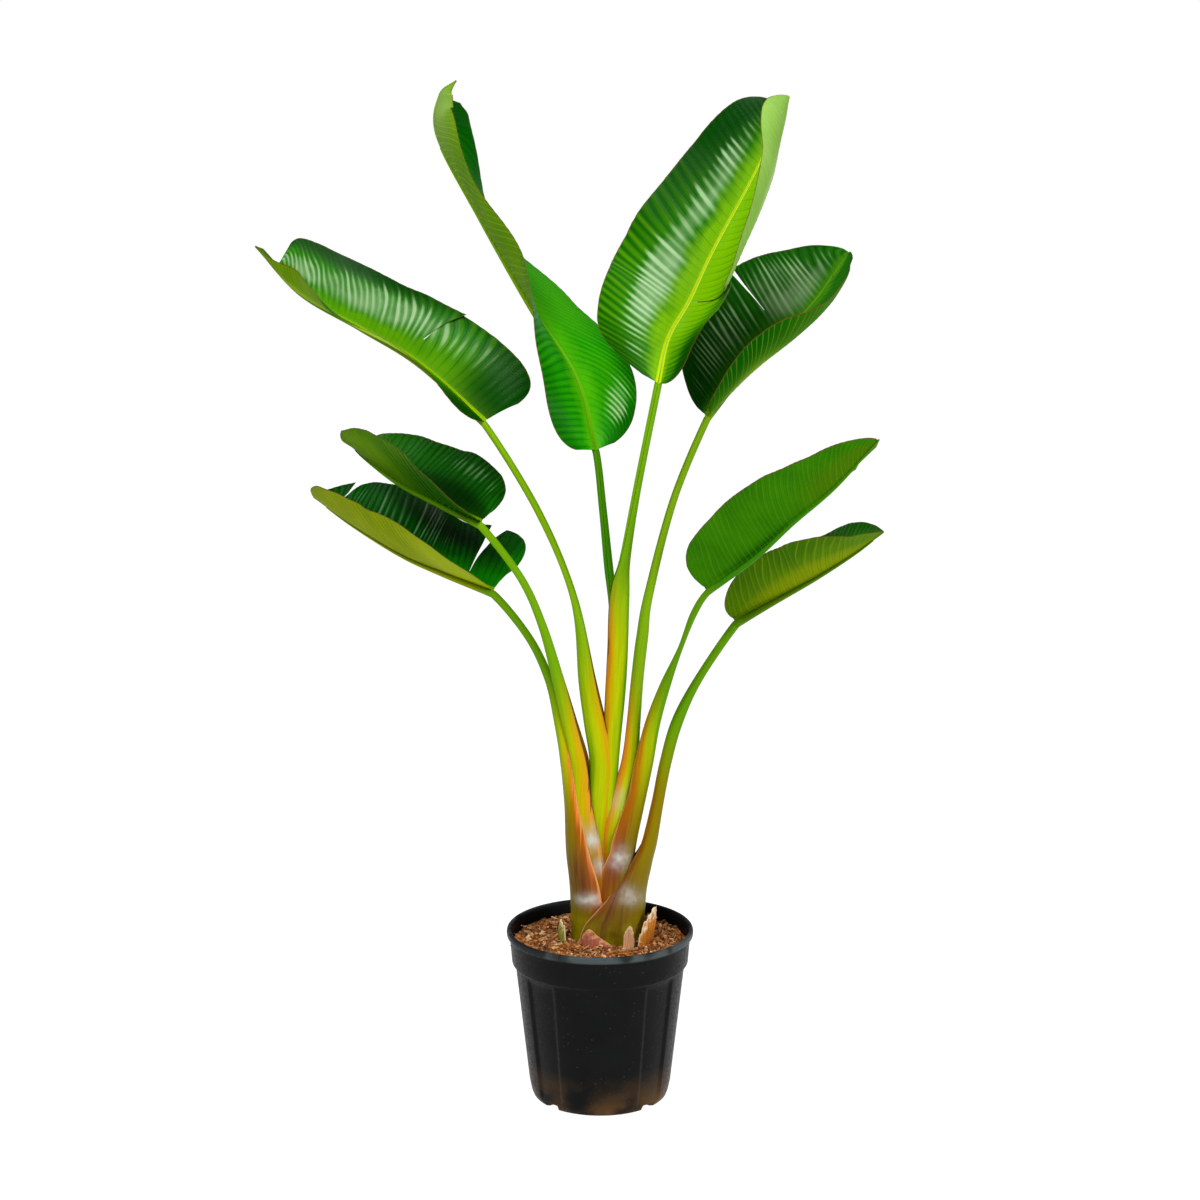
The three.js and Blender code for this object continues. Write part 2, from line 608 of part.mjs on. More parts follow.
// Closed solids that can be joined and cut
function solidTools({ Manifold, Mesh }) {
  return {
    from({ positions, index }) {
      const mesh = new Mesh({
        numProp: 3,
        vertProperties: new Float32Array(positions),
        triVerts: new Uint32Array(index),
      });
      return new Manifold(mesh);
    },
    box(size) {
      return Manifold.cube(size, true);
    },
    oval(radii, bottom, top) {
      return Manifold.cylinder(top - bottom, 1, 1, SOIL_SEGMENTS).scale([radii[0], radii[1], 1])
        .translate([HOLE_CENTRE[0], HOLE_CENTRE[1], bottom]);
    },
  };
}

// Largest piece of a solid; scraps left by a cut are dropped
function largest(solid) {
  const pieces = solid.decompose();
  return pieces.reduce((best, piece) => (piece.volume() > best.volume() ? piece : best));
}

function toMesh(name, solid, colour, roughness) {
  const { vertProperties, triVerts, numProp } = solid.getMesh();
  const positions = [];
  for (let i = 0; i < vertProperties.length; i += numProp) {
    positions.push(vertProperties[i], vertProperties[i + 1], vertProperties[i + 2]);
  }
  const geometry = new THREE.BufferGeometry();
  geometry.setAttribute('position', new THREE.Float32BufferAttribute(positions, 3));
  geometry.setIndex(Array.from(triVerts));
  geometry.computeVertexNormals();
  const material = new THREE.MeshStandardMaterial({ color: colour, roughness, metalness: 0 });
  const mesh = new THREE.Mesh(geometry, material);
  mesh.name = name;
  return mesh;
}

const wasm = await Module();
wasm.setup();
const solids = solidTools(wasm);
const random = randomSource(7);
const plant = new THREE.Group();
plant.name = 'potted_bird_of_paradise';

plant.add(toMesh('pot', pot(solids), COLOURS.pot, ROUGHNESS.pot));

// Sheaths: each is cut back to make room for those inside it
let inner = null;
for (const leaf of LEAVES) {
  let body = solids.from(stalk(leaf, 0)).trimByPlane([0, 0, 1], SHEATH_BOTTOM);
  if (inner) body = largest(body.subtract(inner));
  plant.add(toMesh(`${leaf.name}_stalk`, body, COLOURS.stalk, ROUGHNESS.stalk));
  plant.add(toMesh(`${leaf.name}_blade`, solids.from(blade(leaf)), COLOURS.blade, ROUGHNESS.blade));
  const room = solids.from(stalk(leaf, GAP)).trimByPlane([0, 0, 1], SHEATH_BOTTOM - GAP);
  inner = inner ? inner.add(room) : room;
}

// Soil with the hole for the crown and plain slots for the old leaf bases
let ground = soil(solids, random);
ground = ground.subtract(solids.oval(HOLE_RADII, HOLE_BOTTOM, POT_HEIGHT));
const crownRadii = HOLE_RADII.map((radius) => radius - GAP);
let crown = solids.oval(crownRadii, HOLE_BOTTOM + GAP, CROWN_TOP).subtract(inner);
for (const base of OLD_BASES) {
  const slot = solids.from(oldBase(base, GAP));
  ground = ground.subtract(slot);
  crown = crown.subtract(slot);
  plant.add(toMesh(base.name, solids.from(oldBase(base, 0)), base.colour, ROUGHNESS.old));
}
plant.add(toMesh('crown', largest(crown), COLOURS.crown, ROUGHNESS.crown));
plant.add(toMesh('soil', largest(ground), COLOURS.soil, ROUGHNESS.soil));

export default plant;
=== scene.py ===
# %% [markdown]
# # Giant bird of paradise in a nursery pot
# Eight paddle leaves fan out of one crown, in a black plastic pot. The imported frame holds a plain
# solid for each piece, in metres, with the pot's underside on the floor and the photograph taken
# from -Y. What shows is modelled again below at full detail on the same measures, rides on the one
# body, and stands in for its plain solid. Only the crown, under the soil, keeps the solid.

# %% Load the frame
import math

import bmesh
import bpy
import numpy as np
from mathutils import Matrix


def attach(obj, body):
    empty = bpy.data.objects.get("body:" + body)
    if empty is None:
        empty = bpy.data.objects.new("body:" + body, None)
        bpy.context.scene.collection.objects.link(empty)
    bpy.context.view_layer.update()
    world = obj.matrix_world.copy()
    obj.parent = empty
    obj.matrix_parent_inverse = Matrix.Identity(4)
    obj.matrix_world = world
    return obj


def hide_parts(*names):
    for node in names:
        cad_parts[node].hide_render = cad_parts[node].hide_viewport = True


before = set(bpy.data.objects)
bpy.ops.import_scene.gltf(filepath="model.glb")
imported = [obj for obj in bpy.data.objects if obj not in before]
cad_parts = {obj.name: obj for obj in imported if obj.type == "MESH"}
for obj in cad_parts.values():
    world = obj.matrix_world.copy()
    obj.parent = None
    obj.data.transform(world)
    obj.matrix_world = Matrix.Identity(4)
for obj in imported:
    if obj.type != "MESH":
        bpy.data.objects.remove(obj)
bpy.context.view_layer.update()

BODY = "root"
MM = 0.001
print("nodes in the frame:", len(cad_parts))

# %% [markdown]
# ## Camera
# The photograph looks down on the pot, whose rim shows as an ellipse, while the highest leaves are
# level with the lens. A long lens 3.5 m away, as high as the plant, gives both. The camera comes
# first, so that every later test render is framed like the photograph.

# %% Camera
CAMERA_PLACE = (0.0, -3.5, 1.45)
CAMERA_TILT = math.radians(78.45)
CAMERA_LENS = 76.05

camera_data = bpy.data.cameras.new("camera")
camera_data.lens = CAMERA_LENS
camera = bpy.data.objects.new("camera", camera_data)
camera.location = CAMERA_PLACE
camera.rotation_euler = (CAMERA_TILT, 0, 0)
bpy.context.collection.objects.link(camera)
bpy.context.scene.camera = camera
bpy.context.scene.view_settings.view_transform = "Standard"
print("camera at", CAMERA_PLACE)

# %% [markdown]
# ## Floor and light
# A cut-out product photograph has a white ground and broad light. A plain floor of great size,
# which glows white and takes only a faint shadow, gives the ground. Three big soft lamps give the
# light: one high in front on the left, one overhead, above the leaves that lie back, whose pale
# bands are painted sheen in their finish, and one on the right at the height of the leaves.

# %% Floor and light
FLOOR_SIZE = 600.0
FLOOR_COLOUR = (0.25, 0.25, 0.25, 1)
FLOOR_GLOW = 0.97
# place, point that it looks at, width, depth and power of each lamp
LAMPS = {
    "lamp_front": ((-0.95, -2.5, 3.0), (0.1, 0, 1.1), 0.8, 0.8, 80),
    "lamp_top": ((-0.2, 0.1, 3.6), (0.0, 0.2, 1.0), 2.2, 0.6, 60),
    "lamp_right": ((2.8, -2.0, 1.3), (0, 0, 0.8), 1.2, 1.2, 60),
}

floor_data = bpy.data.meshes.new("floor")
half = FLOOR_SIZE / 2
floor_data.from_pydata(
    [(-half, -half, 0), (half, -half, 0), (half, half, 0), (-half, half, 0)], [], [(0, 1, 2, 3)]
)
floor = bpy.data.objects.new("floor", floor_data)
bpy.context.collection.objects.link(floor)

for name, (stand, target, width, depth, power) in LAMPS.items():
    lamp_data = bpy.data.lights.new(name, "AREA")
    lamp_data.shape = "RECTANGLE"
    lamp_data.size = width
    lamp_data.size_y = depth
    lamp_data.energy = power
    lamp = bpy.data.objects.new(name, lamp_data)
    lamp.location = stand
    x, y, z = np.subtract(stand, target)
    lamp.rotation_euler = (math.atan2(math.hypot(x, y), z), 0, math.atan2(y, x) + math.pi / 2)
    bpy.context.collection.objects.link(lamp)
print("lamps:", len(LAMPS))

# %% [markdown]
# ## Node helpers
# Materials here are built from nodes, which could be placed by hand in the shader editor. Written
# out, they can be made eight times over with other colours. One helper adds a node, sets its
# options and either links or sets each input, which keeps the recipes below short to read.

# %% Node helpers
def srgb(red, green, blue, share=1.0):
    """Colour from 0 to 255 as the linear values that shaders use; a share below 1 darkens it."""
    linear = [
        c / 255 / 12.92 if c <= 10 else ((c / 255 + 0.055) / 1.055) ** 2.4
        for c in (red, green, blue)
    ]
    return (*(share * c for c in linear), 1)


def add(tree, kind, inputs=None, **options):
    """New node; inputs are sockets to link or values to set, options are its own settings."""
    node = tree.nodes.new(kind)
    for key, value in options.items():
        setattr(node, key, value)
    for key, value in (inputs or {}).items():
        if isinstance(value, bpy.types.NodeSocket):
            tree.links.new(value, node.inputs[key])
        else:
            node.inputs[key].default_value = value
    return node


def math_node(tree, operation, first, second=0.0):
    return add(tree, "ShaderNodeMath", {0: first, 1: second}, operation=operation).outputs[0]


def fade(tree, value, start, end, low=0.0, high=1.0):
    """Soft step of a value between start and end."""
    inputs = {"Value": value, "From Min": start, "From Max": end, "To Min": low, "To Max": high}
    return add(tree, "ShaderNodeMapRange", inputs, interpolation_type="SMOOTHSTEP").outputs[0]


def mix(tree, share, first, second):
    """Blend of two colours; a share of 1 gives the second."""
    inputs = {0: share, 6: first, 7: second}
    return add(tree, "ShaderNodeMix", inputs, data_type="RGBA").outputs[2]


def ramp(tree, value, stops):
    """Colour along a value, from a list of position and colour."""
    node = add(tree, "ShaderNodeValToRGB", {"Fac": value})
    points = node.color_ramp.elements
    while len(points) < len(stops):
        points.new(0.5)
    for point, (position, colour) in zip(points, stops):
        point.position = position
        point.color = colour
    return node.outputs[0]


def reading(tree, name, output="Fac"):
    """Number or vector that the mesh carries at each point."""
    return add(tree, "ShaderNodeAttribute", attribute_name=name).outputs[output]


def finish_tree(name):
    """New material with its Principled shader; returns material, tree and shader."""
    material = bpy.data.materials.new(name)
    material.use_nodes = True
    return material, material.node_tree, material.node_tree.nodes["Principled BSDF"]


def complete(tree, shader, colour, roughness, relief, strength, distance):
    """Gives a shader its colour, its roughness and a relief of some strength and depth."""
    bump = add(tree, "ShaderNodeBump", {
        "Height": relief, "Strength": strength, "Distance": distance,
    })
    tree.links.new(colour, shader.inputs["Base Color"])
    tree.links.new(bump.outputs[0], shader.inputs["Normal"])
    if isinstance(roughness, bpy.types.NodeSocket):
        tree.links.new(roughness, shader.inputs["Roughness"])
    else:
        shader.inputs["Roughness"].default_value = roughness


print("node helpers ready")

# %% [markdown]
# ## Effects shared by several finishes
# Uneven colour, lengthwise streaks, dry edges, dust and veins show on more than one piece of this
# plant. Each material could hold its own copy of those nodes. A node group with named inputs and
# outputs is built once instead, and a material places it with its own values.

# %% Group helpers
FLOAT, VECTOR = "NodeSocketFloat", "NodeSocketVector"


def effect(name, inputs, outputs):
    """Empty node group; inputs are name, kind and value, outputs are name and kind."""
    tree = bpy.data.node_groups.new(name, "ShaderNodeTree")
    for label, kind, value in inputs:
        socket = tree.interface.new_socket(label, in_out="INPUT", socket_type=kind)
        if value is not None:
            socket.default_value = value
    for label, kind in outputs:
        tree.interface.new_socket(label, in_out="OUTPUT", socket_type=kind)
    return tree, tree.nodes.new("NodeGroupInput"), tree.nodes.new("NodeGroupOutput")


def place(tree, group, **inputs):
    """Group node in a material; spaces in input names are written as underscores."""
    inputs = {key.replace("_", " "): value for key, value in inputs.items()}
    return add(tree, "ShaderNodeGroup", inputs, node_tree=group)


print("group helpers ready")

# %% [markdown]
# ## Patches and streaks
# Nothing that grows has one even colour: a blade is blotched, and a stalk is streaked along its
# length. One noise could do both, but its clouds are round. So a second group draws the noise out
# by its own measures across and along the piece.

# %% Patches and streaks
# uneven patches, from 0 to 1
mottle, given, result = effect(
    "mottle", [("Vector", VECTOR, None), ("Scale", FLOAT, 40.0), ("Detail", FLOAT, 3.0)],
    [("Patch", FLOAT)],
)
noise = add(mottle, "ShaderNodeTexNoise", {
    "Vector": given.outputs["Vector"], "Scale": given.outputs["Scale"],
    "Detail": given.outputs["Detail"],
})
mottle.links.new(fade(mottle, noise.outputs[0], 0.32, 0.68), result.inputs["Patch"])

# streaks along a piece; the vector runs across in X and along in Y
streaks, given, result = effect(
    "streaks", [("Vector", VECTOR, None), ("Across", FLOAT, 700.0), ("Along", FLOAT, 16.0)],
    [("Streak", FLOAT)],
)
stretch = add(streaks, "ShaderNodeCombineXYZ", {
    "X": given.outputs["Across"], "Y": given.outputs["Along"], "Z": 1.0,
})
drawn = add(streaks, "ShaderNodeVectorMath", {
    0: given.outputs["Vector"], 1: stretch.outputs[0],
}, operation="MULTIPLY")
noise = add(streaks, "ShaderNodeTexNoise", {
    "Vector": drawn.outputs[0], "Scale": 1.0, "Detail": 3.0,
})
streaks.links.new(fade(streaks, noise.outputs[0], 0.3, 0.7), result.inputs["Streak"])
print("patches and streaks ready")

# %% [markdown]
# ## Dry edge and dust
# A blade dries to brown at its margin, an old leaf base at its crest, and grit lies on pot and
# soil. An edge mask from the bevel of the mesh would brown every fold too. Here the mesh says how
# near the true edge is, and noise frays the border. Specks are the middles of random cells.

# %% Dry edge and dust
# dry, browned edge: how near the edge is, from 0 to 1, broken up by noise
dry_edge, given, result = effect(
    "dry edge", [("Nearness", FLOAT, 0.0), ("Start", FLOAT, 0.98), ("Vector", VECTOR, None),
                 ("Raggedness", FLOAT, 0.02)],
    [("Mask", FLOAT)],
)
noise = add(dry_edge, "ShaderNodeTexNoise", {
    "Vector": given.outputs["Vector"], "Scale": 90.0, "Detail": 2.0,
})
shift = math_node(dry_edge, "MULTIPLY", math_node(
    dry_edge, "SUBTRACT", noise.outputs[0], 0.5), given.outputs["Raggedness"])
moved = math_node(dry_edge, "ADD", given.outputs["Nearness"], shift)
reach = add(dry_edge, "ShaderNodeMapRange", {
    "Value": moved, "From Min": given.outputs["Start"], "From Max": 1.0,
}, interpolation_type="SMOOTHSTEP")
dry_edge.links.new(reach.outputs[0], result.inputs["Mask"])

# specks of dust or grit
dust, given, result = effect(
    "dust", [("Vector", VECTOR, None), ("Scale", FLOAT, 260.0), ("Size", FLOAT, 0.18),
             ("Amount", FLOAT, 0.5)],
    [("Specks", FLOAT)],
)
cells = add(dust, "ShaderNodeTexVoronoi", {
    "Vector": given.outputs["Vector"], "Scale": given.outputs["Scale"],
})
spot = add(dust, "ShaderNodeMapRange", {
    "Value": cells.outputs["Distance"], "From Min": given.outputs["Size"], "From Max": 0.0,
}, interpolation_type="SMOOTHSTEP")
chosen = add(dust, "ShaderNodeSeparateColor", {0: cells.outputs["Color"]})
few = math_node(dust, "LESS_THAN", chosen.outputs[0], given.outputs["Amount"])
dust.links.new(math_node(dust, "MULTIPLY", spot.outputs[0], few), result.inputs["Specks"])
print("dry edge and dust ready")

# %% [markdown]
# ## Side veins
# Side veins run from midrib to margin, one in each fold, with finer ones between. A wave texture
# would run them straight across. The mesh counts its pleats instead, so that the lines follow
# every bend of the blade. Each pleat also gets a random number, so that no two look the same.

# %% Side veins
# a fold line between pleats, the crest of a pleat, fine veins inside it and a number of its own
veins, given, result = effect(
    "side veins", [("Pleat", FLOAT, 0.0), ("Vector", VECTOR, None), ("Fine Count", FLOAT, 6.0)],
    [("Fold", FLOAT), ("Crest", FLOAT), ("Fine", FLOAT), ("Each", FLOAT)],
)
noise = add(veins, "ShaderNodeTexNoise", {
    "Vector": given.outputs["Vector"], "Scale": 14.0, "Detail": 1.0,
})
drift = math_node(veins, "MULTIPLY", math_node(veins, "SUBTRACT", noise.outputs[0], 0.5), 0.25)
place_in_pleat = math_node(veins, "ADD", given.outputs["Pleat"], drift)
swing = math_node(veins, "PINGPONG", given.outputs["Pleat"], 0.5)
veins.links.new(fade(veins, swing, 0.14, 0.0), result.inputs["Fold"])
veins.links.new(fade(veins, swing, 0.12, 0.46), result.inputs["Crest"])
own = add(veins, "ShaderNodeTexWhiteNoise", {
    "W": math_node(veins, "FLOOR", given.outputs["Pleat"]),
}, noise_dimensions="1D")
veins.links.new(fade(veins, own.outputs["Value"], 0, 1, 0.4, 1), result.inputs["Each"])
many = math_node(veins, "MULTIPLY", place_in_pleat, given.outputs["Fine Count"])
veins.links.new(
    fade(veins, math_node(veins, "PINGPONG", many, 0.5), 0.2, 0.0), result.inputs["Fine"]
)
print("shared effects:", [tree.name for tree in bpy.data.node_groups])

# %% [markdown]
# ## World and floor finish
# The world's colour depends only on how high the light comes from: white at the horizon, so that
# the ground looks endless, and grey overhead, so that dark leaves keep their depth. The camera
# itself sees white all over, so the backdrop stays plain from every side.

# %% World and floor finish
HORIZON = (1, 1, 1, 1)
OVERHEAD = (0.12, 0.125, 0.13, 1)
HORIZON_BAND = (0.035, 0.14)   # heights between which the white gives way

world = bpy.data.worlds.new("studio")
bpy.context.scene.world = world
world.use_nodes = True
sky = world.node_tree
direction = add(sky, "ShaderNodeTexCoord")
height = add(sky, "ShaderNodeSeparateXYZ", {0: direction.outputs["Generated"]})
high = fade(sky, height.outputs["Z"], *HORIZON_BAND)
sky_colour = ramp(sky, high, [(0, HORIZON), (1, OVERHEAD)])
seen = add(sky, "ShaderNodeLightPath").outputs["Is Camera Ray"]
sky_colour = mix(sky, seen, sky_colour, HORIZON)
background = sky.nodes["Background"]
sky.links.new(sky_colour, background.inputs["Color"])
background.inputs["Strength"].default_value = 1.0

floor_finish, tree, shader = finish_tree("floor_finish")
shader.inputs["Base Color"].default_value = FLOOR_COLOUR
shader.inputs["Roughness"].default_value = 0.9
shader.inputs["Specular IOR Level"].default_value = 0.1
shader.inputs["Emission Color"].default_value = (1, 1, 1, 1)
shader.inputs["Emission Strength"].default_value = FLOOR_GLOW
floor.data.materials.append(floor_finish)
print("world and floor ready")

# %% [markdown]
# ## Curves and soft steps
# A plant has no straight lines or hard changes. Blender's own curves would do for a midrib, but
# width, lift and colour have to follow the same way along a leaf. A smooth curve through a few
# chosen values serves for all of them, and soft steps, bells and slow random waves do the rest.

# %% Curve helpers
def smooth(values, t):
    """Smooth curve through evenly spaced numbers or points, read at each t from 0 to 1."""
    rows = np.asarray(values, float)
    plain = rows.ndim == 1
    rows = rows[:, None] if plain else rows
    last = len(rows) - 1
    padded = np.vstack([2 * rows[0] - rows[1], rows, 2 * rows[-1] - rows[-2]])
    place_on = np.clip(np.atleast_1d(t), 0, 1) * last
    i = np.minimum(place_on.astype(int), last - 1)
    u = (place_on - i)[:, None]
    before, here, after, beyond = (padded[i + k] for k in range(4))
    slope_in, slope_out, rise = (after - before) / 2, (beyond - here) / 2, after - here
    curve = here + slope_in * u + (3 * rise - 2 * slope_in - slope_out) * u ** 2
    curve = curve + (slope_in + slope_out - 2 * rise) * u ** 3
    return curve[:, 0] if plain else curve


def unit(vectors):
    return vectors / np.linalg.norm(vectors, axis=-1, keepdims=True)


def soft_step(values, start, end):
    """Rises from 0 to 1 between start and end, or falls where start is the greater."""
    u = np.clip((np.asarray(values, float) - start) / (end - start), 0, 1)
    return u * u * (3 - 2 * u)


def bell(values, middle, spread):
    """1 in the middle, fading to 0 on both sides."""
    return np.exp(-(((np.asarray(values, float) - middle) / spread) ** 2))


def ripple(rng, t, count, pace):
    """Sum of a few slow waves with random phases, about -1 to 1."""
    total = np.zeros_like(t)
    for k in range(1, count + 1):
        total += np.sin(2 * math.pi * (k * t * pace + rng.random())) / k
    return total / 1.6


print("half way up a soft step:", soft_step(0.5, 0, 1))

# %% [markdown]
# ## Closed meshes
# Every piece is a closed mesh made from rows of points. Thickness could come from a modifier, but
# a blade has to thin out towards its margin, so both faces are laid by rule. A sheet has an upper
# and a lower face joined round its edge, and a tube has rings joined in turn. Points may carry
# numbers, such as how near they lie to a margin, which the materials read.

# %% Mesh helpers
def closed_sheet(upper, lower, kept):
    """Two grids joined round the cells that are kept; a face's side is 0 only if it is upper."""
    rows, columns = upper.shape[:2]
    top = np.arange(rows * columns).reshape(rows, columns)
    near, far = slice(None, -1), slice(1, None)

    def cell(grid):
        return [grid[near, near], grid[near, far], grid[far, far], grid[far, near]]

    a, b, c, d = cell(top)
    e, f, g, h = cell(top + rows * columns)
    faces = [np.stack([a, b, c, d], -1)[kept], np.stack([h, g, f, e], -1)[kept]]
    room = np.pad(kept, 1)
    beside = {
        (0, -1): (a, b, f, e), (1, 0): (b, c, g, f), (0, 1): (c, d, h, g), (-1, 0): (d, a, e, h)
    }
    for (right, down), quad in beside.items():
        neighbour = room[1 + down:down + rows, 1 + right:right + columns]
        faces.append(np.stack(quad, -1)[kept & ~neighbour][:, ::-1])
    points = np.concatenate([upper.reshape(-1, 3), lower.reshape(-1, 3)])
    faces = np.concatenate(faces)
    return points, faces, (np.arange(len(faces)) >= kept.sum()).astype(int)


def closed_tube(rings):
    """Rings of equal count joined in turn, with a fan over each end."""
    count, sides = rings.shape[:2]
    ring = np.arange(count * sides).reshape(count, sides)
    turned = np.roll(ring, -1, axis=1)
    quads = np.stack([ring[:-1], turned[:-1], turned[1:], ring[1:]], -1).reshape(-1, 4)
    first, last = count * sides, count * sides + 1
    caps = [(first, b, a) for a, b in zip(ring[0], turned[0])]
    caps += [(last, a, b) for a, b in zip(ring[-1], turned[-1])]
    points = np.concatenate([
        rings.reshape(-1, 3), rings[0].mean(0)[None], rings[-1].mean(0)[None]
    ])
    return points, quads.tolist() + caps


def make_piece(name, points, faces, finishes, sides=None, readings=None, flat=False):
    """Object from points and faces, with outward normals, finishes and readings."""
    data = bpy.data.meshes.new(name)
    data.from_pydata(np.asarray(points).tolist(), [], [list(map(int, face)) for face in faces])
    for label, values in (readings or {}).items():
        values = np.asarray(values, np.float32)
        vector = values.ndim == 2
        layer = data.attributes.new(label, "FLOAT_VECTOR" if vector else "FLOAT", "POINT")
        layer.data.foreach_set("vector" if vector else "value", values.ravel())
    for finish in finishes:
        data.materials.append(finish)
    if sides is not None:
        data.polygons.foreach_set("material_index", np.asarray(sides, np.int32))
    shape = bmesh.new()
    shape.from_mesh(data)
    bmesh.ops.recalc_face_normals(shape, faces=shape.faces)
    shape.to_mesh(data)
    shape.free()
    data.polygons.foreach_set("use_smooth", np.full(len(data.polygons), not flat))
    data.update()
    made = bpy.data.objects.new(name, data)
    bpy.context.collection.objects.link(made)
    return made


print("mesh helpers ready")

# %% [markdown]
# ## The eight leaves
# A leaf is a midrib curve with the way its upper side faces, two halves that lift and roll from
# it, and a stalk that widens into a sheath at the soil. Eight separate models would be slow to
# change. One model with eight sets of measures makes leaves that differ as the real ones do. The
# lengths are those of the plain solids, in millimetres, and the angles are in degrees.

